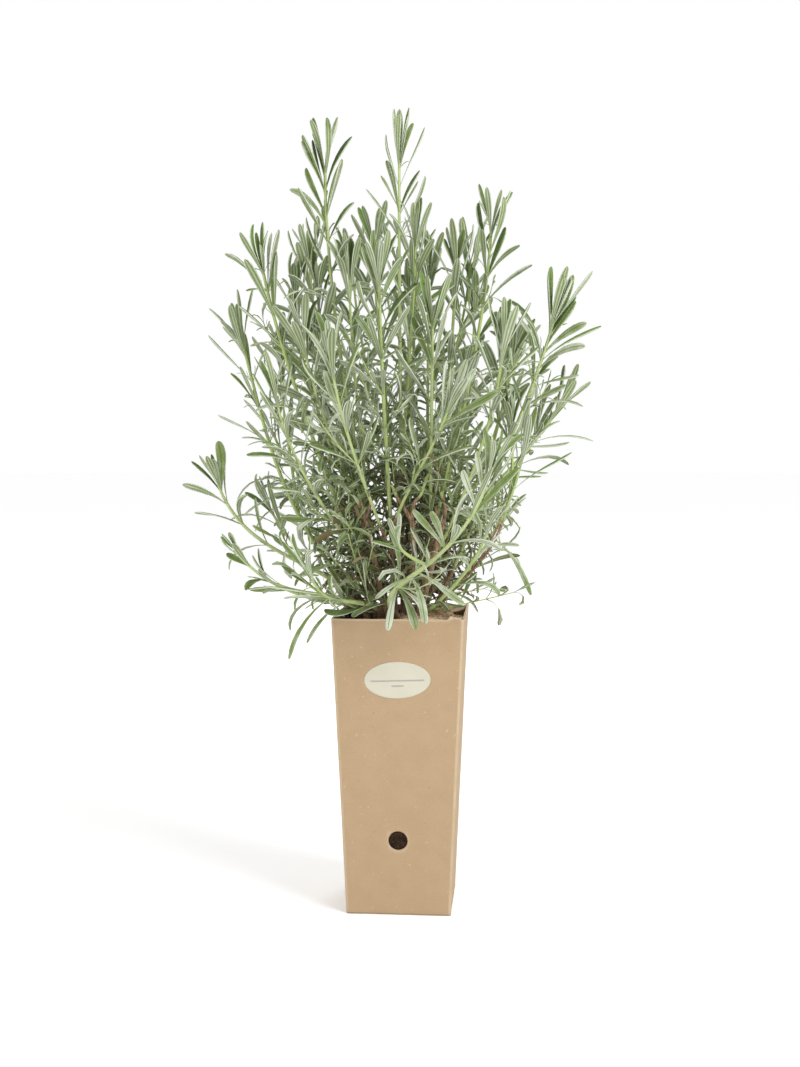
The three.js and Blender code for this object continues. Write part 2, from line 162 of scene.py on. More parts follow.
class MeshDraft:
    """Collects blocks of vertices, faces and marks, and makes one object of them."""

    def __init__(self, marks: tuple[str, ...] = ()) -> None:
        """Starts an empty draft whose vertices carry the named marks."""
        self.marks = marks
        self.points: list[np.ndarray] = []
        self.faces: list[np.ndarray] = []
        self.finishes: list[np.ndarray] = []
        self.values: dict[str, list[np.ndarray]] = {mark: [] for mark in marks}
        self.count = 0

    def add(self, points: np.ndarray, faces: list[np.ndarray], finish: int = 0,
            **values: np.ndarray | float) -> None:
        """Adds a block.

        Args:
            points: Vertices, one row each.
            faces: Arrays of triangles or quads that count from this block's first vertex.
            finish: Which of the object's materials the block has.
            values: What each vertex carries for the named marks. A mark left out is 0.
        """
        self.points.append(points)
        for block in faces:
            self.faces.append(block + self.count)
            self.finishes.append(np.full(len(block), finish))
        for mark in self.marks:
            given = np.asarray(values.get(mark, 0.0), float)
            self.values[mark].append(np.broadcast_to(given, (len(points),)))
        self.count += len(points)

    def build(self, name: str, materials: list[bpy.types.Material]) -> bpy.types.Object:
        """Makes the object, smooth shaded.

        Args:
            name: The piece's name.
            materials: Its materials, in the order that finish counts.

        Returns:
            The new object, in the scene.
        """
        points = np.concatenate(self.points)
        corners = np.concatenate([block.ravel() for block in self.faces])
        sides = np.concatenate([np.full(len(block), block.shape[1]) for block in self.faces])
        mesh = bpy.data.meshes.new(name)
        mesh.vertices.add(len(points))
        mesh.vertices.foreach_set("co", points.astype(np.float32).ravel())
        mesh.loops.add(len(corners))
        mesh.loops.foreach_set("vertex_index", corners.astype(np.int32))
        mesh.polygons.add(len(sides))
        starts = np.concatenate([[0], np.cumsum(sides)[:-1]])
        mesh.polygons.foreach_set("loop_start", starts.astype(np.int32))
        mesh.polygons.foreach_set("material_index", np.concatenate(self.finishes).astype(np.int32))
        for mark in self.marks:
            set_mark(mesh, mark, np.concatenate(self.values[mark]))
        for material in materials:
            mesh.materials.append(material)
        mesh.update(calc_edges=True)
        mesh.shade_smooth()
        piece = bpy.data.objects.new(name, mesh)
        bpy.context.scene.collection.objects.link(piece)
        return piece


def grid_faces(rows: int, columns: int, closed: bool) -> np.ndarray:
    """Quads between rows of vertices, counterclockwise seen from outside.

    Args:
        rows: How many rows of vertices there are.
        columns: How many vertices a row has.
        closed: Whether a row's last vertex joins its first.

    Returns:
        One quad a row, as vertex numbers.
    """
    here, there = np.meshgrid(np.arange(rows - 1), np.arange(columns if closed else columns - 1),
                              indexing="ij")
    after = (there + 1) % columns
    low, high = here * columns, (here + 1) * columns
    quads = np.stack([low + there, low + after, high + after, high + there], axis=-1)
    return quads.reshape(-1, 4)


def fan_faces(ring_start: int, count: int, tip: int, outward: bool) -> np.ndarray:
    """Triangles from a ring to one vertex.

    Args:
        ring_start: The ring's first vertex.
        count: How many vertices it has.
        tip: The vertex they all meet in.
        outward: Whether the tip lies past the last ring, or before the first.

    Returns:
        One triangle a row, as vertex numbers.
    """
    here = ring_start + np.arange(count)
    after = ring_start + (np.arange(count) + 1) % count
    order = (here, after) if outward else (after, here)
    return np.stack([*order, np.full(count, tip)], axis=-1)


def capped(rings: np.ndarray, first: np.ndarray, last: np.ndarray,
           ) -> tuple[np.ndarray, list[np.ndarray]]:
    """A closed skin over rings of vertices.

    Args:
        rings: The vertices by ring and then around it, counterclockwise seen from the last ring.
        first: The point that closes the first ring.
        last: The point that closes the last ring.

    Returns:
        Vertices and faces.
    """
    rows, sides = rings.shape[:2]
    count = rows * sides
    faces = [
        grid_faces(rows, sides, True),
        fan_faces(0, sides, count, False),
        fan_faces(count - sides, sides, count + 1, True),
    ]
    return np.concatenate([rings.reshape(-1, 3), [first], [last]]), faces


def tube(points: np.ndarray, radii: np.ndarray, section: np.ndarray, facing: np.ndarray,
         ) -> tuple[np.ndarray, list[np.ndarray]]:
    """A closed tube along a line.

    Args:
        points: The line, one row each.
        radii: Its radius at each point.
        section: The section's outline, for a radius of one, counterclockwise.
        facing: The direction that the section's first axis turns to.

    Returns:
        Vertices and faces.
    """
    tangents = unit(np.gradient(points, axis=0))
    first = unit(facing[None, :] - tangents * (tangents @ facing)[:, None])
    second = np.cross(tangents, first)
    outline = first[:, None, :] * section[None, :, :1] + second[:, None, :] * section[None, :, 1:]
    return capped(points[:, None, :] + radii[:, None, None] * outline, points[0], points[-1])


def round_section(sides: int, squareness: float = 0.0) -> np.ndarray:
    """A round outline, or one with its corners drawn out.

    Args:
        sides: How many vertices it has.
        squareness: From 0 for a circle to about 0.3 for a square.

    Returns:
        One row for each vertex.
    """
    angle = np.arange(sides) / sides * FULL_TURN
    radius = 1 - squareness * np.sin(2 * angle) ** 2
    return np.stack([radius * np.cos(angle), radius * np.sin(angle)], axis=1)


# Materials: a small helper, the shared effects and one class for each finish.


class Wiring:
    """Adds nodes to one tree and joins them."""

    LUMP_SCALE = 0.6

    def __init__(self, tree: bpy.types.NodeTree) -> None:
        """Wires the given tree."""
        self.tree = tree

    def add(self, kind: str, inputs: dict[str | int, object] | None = None,
            **settings: object) -> bpy.types.Node:
        """Adds a node.

        Args:
            kind: The node's type.
            inputs: Values or sockets for its inputs, by name or place.
            settings: Other settings of the node.

        Returns:
            The new node.
        """
        node = self.tree.nodes.new(kind)
        for name, value in settings.items():
            setattr(node, name, value)
        for name, value in (inputs or {}).items():
            if isinstance(value, bpy.types.NodeSocket):
                self.tree.links.new(value, node.inputs[name])
            else:
                node.inputs[name].default_value = value
        return node

    def math(self, operation: str, *values: object) -> bpy.types.NodeSocket:
        """The result of a math node."""
        node = self.add("ShaderNodeMath", dict(enumerate(values)), operation=operation)
        return node.outputs[0]

    def step(self, value: bpy.types.NodeSocket, low: float, high: float,
             bottom: float = 0.0, top: float = 1.0) -> bpy.types.NodeSocket:
        """A smooth step of a value, from bottom at low to top at high."""
        inputs = {"Value": value, "From Min": low, "From Max": high, "To Min": bottom, "To Max": top}
        return self.add("ShaderNodeMapRange", inputs, interpolation_type="SMOOTHSTEP").outputs[0]

    def mix(self, factor: object, first: object, second: object) -> bpy.types.NodeSocket:
        """Two colours mixed. A plain colour is three numbers."""
        values = {0: factor}
        for place, colour in ((6, first), (7, second)):
            values[place] = (*colour, 1.0) if isinstance(colour, tuple) else colour
        return self.add("ShaderNodeMix", values, data_type="RGBA").outputs[2]

    def cover(self, colour: object, tint: object, *masks: object) -> bpy.types.NodeSocket:
        """A colour with a tint over it, as thick as the product of the masks."""
        share = masks[0]
        for mask in masks[1:]:
            share = self.math("MULTIPLY", share, mask)
        return self.mix(share, colour, tint)

    def mark(self, name: str) -> bpy.types.NodeSocket:
        """What the vertices carry under a name."""
        return self.add("ShaderNodeAttribute", attribute_name=name).outputs["Fac"]

    def place(self) -> bpy.types.NodeSocket:
        """The place on the piece, in metres."""
        return self.add("ShaderNodeTexCoord").outputs["Object"]

    def noise(self, place: object, size: float) -> bpy.types.NodeSocket:
        """Noise from 0 to 1 with lumps of about the given size in metres."""
        inputs = {"Vector": place, "Scale": self.LUMP_SCALE / size}
        return self.add("ShaderNodeTexNoise", inputs).outputs["Fac"]


class Effect(Enum):
    """The shared effects, each a node group that is built once."""

    GRAIN = "surface_grain"
    FLECKS = "scattered_flecks"
    FELT = "short_felt"

    def group(self) -> bpy.types.NodeTree:
        """The effect's node group."""
        found = bpy.data.node_groups.get(self.value)
        if found:
            return found
        builders = {Effect.GRAIN: _grain_group, Effect.FLECKS: _flecks_group, Effect.FELT: _felt_group}
        return builders[self]()


def _open_group(effect: Effect, inputs: dict[str, float], outputs: tuple[str, ...],
                ) -> tuple[bpy.types.NodeTree, Wiring, bpy.types.Node, bpy.types.Node]:
    """Starts a node group with a Place input.

    Args:
        effect: Which effect it is.
        inputs: Its number inputs with their usual values.
        outputs: The names of its value outputs.

    Returns:
        The group, its wiring, its input node and its output node.
    """
    group = bpy.data.node_groups.new(effect.value, "ShaderNodeTree")
    group.interface.new_socket("Place", in_out="INPUT", socket_type="NodeSocketVector")
    for name, usual in inputs.items():
        socket = group.interface.new_socket(name, in_out="INPUT", socket_type="NodeSocketFloat")
        socket.default_value = usual
    for name in outputs:
        group.interface.new_socket(name, in_out="OUTPUT", socket_type="NodeSocketFloat")
    wires = Wiring(group)
    return group, wires, wires.add("NodeGroupInput"), wires.add("NodeGroupOutput")


def _grain_group() -> bpy.types.NodeTree:
    """Broad clouding and fine grain, each from 0 to 1."""
    group, wires, given, result = _open_group(
        Effect.GRAIN, {"Clouds": 20.0, "Fine": 1000.0, "Stretch": 1.0}, ("Cloud", "Grain"))
    cloud = wires.add("ShaderNodeTexNoise", {
        "Vector": given.outputs["Place"], "Scale": given.outputs["Clouds"], "Detail": 3.0})
    squeeze = wires.add("ShaderNodeCombineXYZ", {
        0: 1.0, 1: 1.0, 2: given.outputs["Stretch"]})
    drawn = wires.add("ShaderNodeVectorMath", {
        0: given.outputs["Place"], 1: squeeze.outputs[0]}, operation="MULTIPLY")
    fine = wires.add("ShaderNodeTexNoise", {
        "Vector": drawn.outputs[0], "Scale": given.outputs["Fine"], "Detail": 3.0})
    group.links.new(cloud.outputs["Fac"], result.inputs["Cloud"])
    group.links.new(fine.outputs["Fac"], result.inputs["Grain"])
    return group


RAGGED_SCALE = 800.0
LEAST_FLECK = 0.35
FLECK_EDGE: Ramp = (0.0, 0.45)


def _flecks_group() -> bpy.types.NodeTree:
    """Scattered small flecks on a sheet: a mask from 0 to 1 that only some cells carry."""
    group, wires, given, result = _open_group(
        Effect.FLECKS, {"Cells": 180.0, "Width": 0.1, "Share": 0.5, "Ragged": 0.0012,
                        "Squeeze": 1.0, "Lean": 0.0}, ("Mask",))
    warp = wires.add("ShaderNodeTexNoise", {
        "Vector": given.outputs["Place"], "Scale": RAGGED_SCALE, "Detail": 2.0})
    centred = wires.add("ShaderNodeVectorMath", {
        0: warp.outputs["Color"], 1: (0.5, 0.5, 0.5)}, operation="SUBTRACT")
    shift = wires.add("ShaderNodeVectorMath", {0: centred.outputs[0]}, operation="SCALE")
    wires.tree.links.new(given.outputs["Ragged"], shift.inputs["Scale"])
    moved = wires.add("ShaderNodeVectorMath", {
        0: given.outputs["Place"], 1: shift.outputs[0]}, operation="ADD")
    leaning = wires.add("ShaderNodeVectorRotate", {
        "Vector": moved.outputs[0], "Angle": given.outputs["Lean"]}, rotation_type="Z_AXIS")
    squeeze = wires.add("ShaderNodeCombineXYZ", {0: 1.0, 1: given.outputs["Squeeze"], 2: 1.0})
    drawn = wires.add("ShaderNodeVectorMath", {
        0: leaning.outputs[0], 1: squeeze.outputs[0]}, operation="MULTIPLY")
    cells = wires.add("ShaderNodeTexVoronoi", {
        "Vector": drawn.outputs[0], "Scale": given.outputs["Cells"]}, voronoi_dimensions="2D")
    split = wires.add("ShaderNodeSeparateColor", {0: cells.outputs["Color"]})
    picked = wires.math("LESS_THAN", split.outputs[0], given.outputs["Share"])
    sized = wires.math("MULTIPLY", given.outputs["Width"],
                       wires.math("ADD", split.outputs[1], LEAST_FLECK))
    inside = wires.math("SUBTRACT", 1.0, wires.math("DIVIDE", cells.outputs["Distance"], sized))
    spot = wires.step(inside, *FLECK_EDGE)
    group.links.new(wires.math("MULTIPLY", spot, picked), result.inputs["Mask"])
    return group


HAIR_RISE = 0.4
HAIR_TIPS: Ramp = (0.45, 0.7)


def _felt_group() -> bpy.types.NodeTree:
    """Short felt: pale hair tips and the pebbled height under them, each from 0 to 1."""
    group, wires, given, result = _open_group(
        Effect.FELT, {"Hairs": 2200.0, "Pebbles": 1100.0}, ("Hairs", "Height"))
    hairs = wires.add("ShaderNodeTexNoise", {
        "Vector": given.outputs["Place"], "Scale": given.outputs["Hairs"], "Detail": 2.0})
    pebbles = wires.add("ShaderNodeTexVoronoi", {
        "Vector": given.outputs["Place"], "Scale": given.outputs["Pebbles"]}, feature="SMOOTH_F1")
    lump = wires.math("SUBTRACT", 1.0, pebbles.outputs["Distance"])
    height = wires.math("ADD", lump, wires.math("MULTIPLY", hairs.outputs["Fac"], HAIR_RISE))
    group.links.new(wires.step(hairs.outputs["Fac"], *HAIR_TIPS), result.inputs["Hairs"])
    group.links.new(height, result.inputs["Height"])
    return group


class Finish:
    """What all finishes share: a material with one Principled BSDF."""

    title: str
    rough: float

    def paint(self, wires: Wiring, shader: bpy.types.Node) -> bpy.types.NodeSocket:
        """Gives the material its relief and other settings.

        Args:
            wires: The material's wiring.
            shader: Its Principled BSDF.

        Returns:
            Its colour.
        """
        raise NotImplementedError

    def build(self) -> bpy.types.Material:
        """Builds the material."""
        material = bpy.data.materials.new(self.title)
        material.use_nodes = True
        material.node_tree.nodes.clear()
        wires = Wiring(material.node_tree)
        shader = wires.add("ShaderNodeBsdfPrincipled", {"Roughness": self.rough})
        wires.add("ShaderNodeOutputMaterial", {"Surface": shader.outputs[0]})
        wires.tree.links.new(self.paint(wires, shader), shader.inputs["Base Color"])
        return material


def use_bump(wires: Wiring, shader: bpy.types.Node, height: bpy.types.NodeSocket,
             depth: float, strength: float = 1.0) -> None:
    """Gives a material small relief.

    Args:
        wires: The material's wiring.
        shader: Its Principled BSDF.
        height: The relief, from 0 to 1.
        depth: How deep 1 is, in metres.
        strength: How strongly it shows.
    """
    bump = wires.add("ShaderNodeBump", {"Height": height, "Distance": depth, "Strength": strength})
    wires.tree.links.new(bump.outputs[0], shader.inputs["Normal"])


def effect_node(wires: Wiring, effect: Effect, place: bpy.types.NodeSocket,
                **values: float) -> bpy.types.Node:
    """Places a shared effect in a material.

    Args:
        wires: The material's wiring.
        effect: Which effect.
        place: Where on the piece it is read.
        values: Its number inputs.

    Returns:
        The group node.
    """
    node = wires.add("ShaderNodeGroup", node_tree=effect.group())
    wires.tree.links.new(place, node.inputs["Place"])
    for name, value in values.items():
        node.inputs[name].default_value = value
    return node


def sheet_place(wires: Wiring) -> bpy.types.NodeSocket:
    """The place on an upright sheet that faces along X or Y, with its width first."""
    split = wires.add("ShaderNodeSeparateXYZ", {0: wires.place()})
    wide = wires.math("SUBTRACT", split.outputs[0], split.outputs[1])
    joined = wires.add("ShaderNodeCombineXYZ", {0: wide, 1: split.outputs[2]})
    return joined.outputs[0]


@dataclass(frozen=True)
class FleckKind:
    """One kind of fleck or fibre.

    Attributes:
        cells: How many cells a metre has.
        width: The fleck's width in cells.
        share: How many of the cells carry one.
        ragged: How ragged it is, in metres.
        strength: How strongly it shows.
        tint: Its colour.
        squeeze: 1 for a round fleck, and less for a fibre drawn out along one direction.
        lean: How far that direction leans, in radians.
    """

    cells: float
    width: float
    share: float
    ragged: float
    strength: float
    tint: Colour
    squeeze: float = 1.0
    lean: float = 0.0


@dataclass(frozen=True)
class KraftFinish(Finish):
    """Unbleached board: a tan skin with pale and dark fibres, paler where cut, with a painted
    highlight along the folds.
    """

    title: str = "kraft_board"
    rough: float = 0.82
    board: Colour = (0.398, 0.275, 0.157)
    clouded: Colour = (0.374, 0.256, 0.143)
    pale_cut_and_highlight: Colour = (0.58, 0.46, 0.32)
    darker_foot: Colour = (0.17, 0.11, 0.065)
    flecks: tuple[FleckKind, ...] = (
        FleckKind(140.0, 0.085, 0.22, 0.0026, 0.42, (0.58, 0.48, 0.33)),
        FleckKind(330.0, 0.12, 0.14, 0.0016, 0.34, (0.54, 0.43, 0.28)),
        FleckKind(75.0, 0.05, 0.22, 0.0024, 0.5, (0.23, 0.145, 0.065)),
        FleckKind(480.0, 0.16, 0.25, 0.0012, 0.14, (0.23, 0.145, 0.078)),
        FleckKind(150.0, 0.048, 0.26, 0.0020, 0.55, (0.62, 0.50, 0.34), 0.20, 0.6),
        FleckKind(110.0, 0.034, 0.30, 0.0022, 0.5, (0.60, 0.48, 0.32), 0.16, -0.9),
        FleckKind(130.0, 0.034, 0.26, 0.0018, 0.45, (0.22, 0.14, 0.07), 0.18, 1.4),
    )
    clouds: Ramp = (0.3, 0.75)
    specks: Ramp = (0.3, 0.7)
    speck_strength: float = 0.10
    fold_highlight_patches: Ramp = (0.3, 0.6, 0.25, 0.55)
    cut_strength: float = 0.8
    foot_mottling: Ramp = (0.25, 0.6, 0.45, 0.9)
    relief: Pair = (0.08 * MM, 0.35)

    def paint(self, wires: Wiring, shader: bpy.types.Node) -> bpy.types.NodeSocket:
        """The board's clouds, flecks, painted fold highlights, cut edges and foot, darker towards the
        bottom.
        """
        place = sheet_place(wires)
        grain = effect_node(wires, Effect.GRAIN, place, Clouds=60.0, Fine=700.0, Stretch=2.6)
        cloud, fine = grain.outputs["Cloud"], grain.outputs["Grain"]
        colour = wires.mix(wires.step(cloud, *self.clouds), self.board, self.clouded)
        specks = wires.step(fine, *self.specks)
        colour = wires.cover(colour, self.pale_cut_and_highlight, specks, self.speck_strength)
        for kind in self.flecks:
            flecks = effect_node(wires, Effect.FLECKS, place, Cells=kind.cells, Width=kind.width,
                                 Share=kind.share, Ragged=kind.ragged,
                                 Squeeze=kind.squeeze, Lean=kind.lean)
            colour = wires.cover(colour, kind.tint, flecks.outputs["Mask"], kind.strength)
        # Painted highlight: the pale cut colour laid in patches along each rounded fold.
        patchy = wires.step(cloud, *self.fold_highlight_patches)
        colour = wires.cover(colour, self.pale_cut_and_highlight, wires.mark("fold"), patchy)
        colour = wires.cover(colour, self.pale_cut_and_highlight, wires.mark("cut"), self.cut_strength)
        use_bump(wires, shader, fine, *self.relief)
        # The foot is darker towards the bottom, in mottled patches.
        foot_mottle = wires.step(fine, *self.foot_mottling)
        return wires.cover(colour, self.darker_foot, wires.mark("foot"), foot_mottle)


@dataclass(frozen=True)
class LabelFinish(Finish):
    """Cream paper with two plain grey rules, which lie where "ink" says so."""

    title: str = "cream_paper"
    rough: float = 0.5
    paper: Colour = (0.540, 0.512, 0.409)
    shade: Colour = (0.522, 0.494, 0.391)
    rule: Colour = (0.27, 0.28, 0.25)
    clouds: Ramp = (0.35, 0.7)
    ink_edge: Ramp = (0.35, 0.65)
    breaks: Ramp = (0.2, 0.55, 0.5, 0.8)
    relief: Pair = (0.03 * MM, 0.4)

    def paint(self, wires: Wiring, shader: bpy.types.Node) -> bpy.types.NodeSocket:
        """The paper's faint clouds and its slightly broken rules."""
        grain = effect_node(wires, Effect.GRAIN, wires.place(), Clouds=60.0, Fine=1500.0)
        fine = grain.outputs["Grain"]
        cloud = wires.step(grain.outputs["Cloud"], *self.clouds)
        ink = wires.step(wires.mark("ink"), *self.ink_edge)
        broken = wires.step(fine, *self.breaks)
        use_bump(wires, shader, fine, *self.relief)
        return wires.cover(wires.mix(cloud, self.paper, self.shade), self.rule, ink, broken)


@dataclass(frozen=True)
class SoilFinish(Finish):
    """Potting mix: dark peat crumbs, and paler coir where "coir" says so."""

    title: str = "potting_mix"
    rough: float = 0.95
    peat: Colour = (0.030, 0.018, 0.011)
    crumb: Colour = (0.105, 0.060, 0.035)
    coir: Colour = (0.90, 0.68, 0.45)
    coir_shade: Colour = (0.58, 0.40, 0.24)
    gloss: float = 0.15
    patches: Ramp = (0.38, 0.66)
    grains: Ramp = (0.35, 0.7)
    matting: Ramp = (0.0, 1.0, 0.75, 1.0)
    depth: float = 0.5 * MM

    def paint(self, wires: Wiring, shader: bpy.types.Node) -> bpy.types.NodeSocket:
        """The peat's patches of crumbs, and the coir's lit and shaded fibres."""
        shader.inputs["Specular IOR Level"].default_value = self.gloss
        grain = effect_node(wires, Effect.GRAIN, wires.place(), Clouds=260.0, Fine=1700.0)
        patch = wires.step(grain.outputs["Cloud"], *self.patches)
        fine = wires.step(grain.outputs["Grain"], *self.grains)
        dark = wires.cover(self.peat, self.crumb, patch, fine)
        pale = wires.mix(fine, self.coir_shade, self.coir)
        matted = wires.step(patch, *self.matting)
        use_bump(wires, shader, grain.outputs["Grain"], self.depth)
        return wires.cover(dark, pale, wires.mark("coir"), matted)


@dataclass(frozen=True)
class LeafFinish(Finish):
    """Felted lavender leaves: green above with a dark midrib groove, paler below and at the rims.

    The marks "across" and "along" say where on its leaf a vertex lies, "under" that it is
    on the lower side, and "tone", "fresh" and "dry" how its leaf is coloured.
    """

    title: str = "lavender_leaf"
    rough: float = 0.72
    gloss: float = 0.3
    sheen: float = 0.08
    sheen_rough: float = 0.45
    deep: Colour = (0.054, 0.099, 0.008)
    mid: Colour = (0.157, 0.219, 0.054)
    fresh: Colour = (0.134, 0.247, 0.029)
    silver: Colour = (0.512, 0.559, 0.423)
    below: Colour = (0.345, 0.403, 0.234)
    channel: Colour = (0.088, 0.134, 0.019)
    rim: Colour = (0.590, 0.632, 0.507)
    root: Colour = (0.387, 0.470, 0.178)
    dry: Colour = (0.175, 0.105, 0.048)
    clouds: Ramp = (0.3, 0.7, -0.2, 0.2)
    greening: Ramp = (-0.1, 0.5)
    silvering: Ramp = (0.45, 1.2)
    midrib: Ramp = (0.2, 0.04, 0.0, 0.8)
    hair_strength: float = 0.22
    below_silvering: Ramp = (0.3, 1.1)
    below_shade: Ramp = (0.1, -0.4)
    trough: tuple[Ramp, Ramp] = ((0.12, 0.3), (0.72, 0.5))
    trough_strength: float = 0.65
    turnover: Ramp = (0.4, 0.6)
    rim_width: Ramp = (0.74, 0.94, 0.0, 0.85)
    root_length: Ramp = (0.22, 0.02, 0.0, 0.6)
    relief: Pair = (0.16 * MM, 0.5)

    def upper(self, wires: Wiring, tone: bpy.types.NodeSocket, off_rib: bpy.types.NodeSocket,
              hairs: bpy.types.NodeSocket) -> bpy.types.NodeSocket:
        """The colour of a leaf's upper side.

        Args:
            wires: The material's wiring.
            tone: From dark green at 0 to silver at 1.
            off_rib: How far off the midrib a place is, as a share of the half width.
            hairs: The pale tips of the felt.

        Returns:
            The colour.
        """
        colour = wires.mix(wires.step(tone, *self.greening), self.deep, self.mid)
        colour = wires.cover(colour, self.silver, wires.step(tone, *self.silvering))
        colour = wires.cover(colour, self.fresh, wires.mark("fresh"))
        colour = wires.cover(colour, self.deep, wires.step(off_rib, *self.midrib))
        return wires.cover(colour, self.silver, hairs, self.hair_strength)

    def lower(self, wires: Wiring, tone: bpy.types.NodeSocket,
              off_rib: bpy.types.NodeSocket) -> bpy.types.NodeSocket:
        """The colour of a leaf's lower side.

        Args:
            wires: The material's wiring.
            tone: From dark green at 0 to silver at 1.
            off_rib: How far off the midrib a place is, as a share of the half width.

        Returns:
            The colour.
        """
        colour = wires.mix(wires.step(tone, *self.below_silvering), self.below, self.silver)
        colour = wires.cover(colour, self.channel, wires.step(tone, *self.below_shade))
        inner, outer = (wires.step(off_rib, *side) for side in self.trough)
        return wires.cover(colour, self.channel, inner, outer, self.trough_strength)

    def paint(self, wires: Wiring, shader: bpy.types.Node) -> bpy.types.NodeSocket:
        """Both sides, the pale rims, the leaf's root and its brown, which is dry leaves and, in the
        shaded middle, partly painted shade.
        """
        shader.inputs["Specular IOR Level"].default_value = self.gloss
        shader.inputs["Sheen Weight"].default_value = self.sheen
        shader.inputs["Sheen Roughness"].default_value = self.sheen_rough
        place = wires.place()
        felt = effect_node(wires, Effect.FELT, place, Hairs=2300.0, Pebbles=1250.0)
        grain = effect_node(wires, Effect.GRAIN, place, Clouds=70.0, Fine=900.0)
        use_bump(wires, shader, felt.outputs["Height"], *self.relief)
        off_rib = wires.math("ABSOLUTE", wires.mark("across"))
        clouded = wires.step(grain.outputs["Cloud"], *self.clouds)
        tone = wires.math("ADD", wires.mark("tone"), clouded)
        colour = wires.mix(wires.step(wires.mark("under"), *self.turnover),
                           self.upper(wires, tone, off_rib, felt.outputs["Hairs"]),
                           self.lower(wires, tone, off_rib))
        colour = wires.cover(colour, self.rim, wires.step(off_rib, *self.rim_width))
        near_root = wires.step(wires.mark("along"), *self.root_length)
        colour = wires.cover(colour, self.root, near_root)
        return wires.cover(colour, self.dry, wires.mark("dry"))


@dataclass(frozen=True)
class StemFinish(Finish):
    """Stems: pale felted green above, brown scaling bark where "bark" says so."""

    title: str = "lavender_stem"
    rough: float = 0.7
    gloss: float = 0.3
    green: Colour = (0.345, 0.439, 0.136)
    pale: Colour = (0.491, 0.554, 0.303)
    bark: Colour = (0.150, 0.090, 0.042)
    bark_pale: Colour = (0.35, 0.240, 0.145)
    hair_strength: float = 0.5
    paling: Ramp = (0.0, 1.0, 0.0, 0.5)
    scaling: Ramp = (0.4, 0.62)
    raggedness: Ramp = (0.3, 0.7, -0.2, 0.2)
    bark_edge: Ramp = (0.3, 0.7)
    relief: Pair = (0.3 * MM, 0.6)

    def paint(self, wires: Wiring, shader: bpy.types.Node) -> bpy.types.NodeSocket:
        """The young stem's felt, and the bark that takes over with a ragged edge."""
        shader.inputs["Specular IOR Level"].default_value = self.gloss
        place = wires.place()
        felt = effect_node(wires, Effect.FELT, place, Hairs=2000.0, Pebbles=1500.0)
        grain = effect_node(wires, Effect.GRAIN, place, Clouds=90.0, Fine=1400.0, Stretch=0.15)
        use_bump(wires, shader, grain.outputs["Grain"], *self.relief)
        young = wires.cover(self.green, self.pale, felt.outputs["Hairs"], self.hair_strength)
        young = wires.cover(young, self.pale, wires.step(wires.mark("tone"), *self.paling))
        scaled = wires.step(grain.outputs["Grain"], *self.scaling)
        old = wires.mix(scaled, self.bark, self.bark_pale)
        ragged = wires.step(grain.outputs["Cloud"], *self.raggedness)
        edge = wires.math("ADD", wires.mark("bark"), ragged)
        return wires.mix(wires.step(edge, *self.bark_edge), young, old)


@dataclass(frozen=True)
class FloorFinish(Finish):
    """A plain, nearly white studio floor that glows a little, most of all far away."""

    title: str = "studio_floor"
    rough: float = 0.9
    paint_colour: Colour = (0.90, 0.90, 0.90)
    shade: Colour = (0.88, 0.88, 0.88)
    near_glow: Colour = (0.32, 0.32, 0.32)
    far_glow: Colour = (1.0, 1.0, 1.0)
    glow: float = 0.52
    glow_reach: Ramp = (0.4, 2.2)
    cloud_size: float = 0.5

    def paint(self, wires: Wiring, shader: bpy.types.Node) -> bpy.types.NodeSocket:
        """The paint's faint clouds, and the glow."""
        place = wires.place()
        away = wires.add("ShaderNodeVectorMath", {0: place}, operation="LENGTH").outputs["Value"]
        glow = wires.mix(wires.step(away, *self.glow_reach), self.near_glow, self.far_glow)
        wires.tree.links.new(glow, shader.inputs["Emission Color"])
        shader.inputs["Emission Strength"].default_value = self.glow
        return wires.mix(wires.noise(place, self.cloud_size), self.paint_colour, self.shade)


# The carton, its label and its soil.


BOX_FACES = np.array([
    [0, 2, 3, 1], [4, 5, 7, 6], [0, 1, 5, 4], [2, 6, 7, 3], [0, 4, 6, 2], [1, 3, 7, 5]])


@dataclass(frozen=True)
class Tear:
    """A place where a rim is torn down or drawn up.

    Attributes:
        rise: How far it lifts the rim, which is less than 0 for a tear.
        middle: Where it lies along the rim.
        reach: How far it reaches to both sides.
        steep: 1 for a pointed form, and more for one with a level middle.
    """

    rise: float
    middle: float
    reach: float
    steep: float = 1.0

    def at(self, along: np.ndarray) -> np.ndarray:
        """The lift at places along the rim."""
        share = self.steep * (1 - np.abs(along - self.middle) / self.reach)
        return self.rise * np.clip(share, 0, 1)


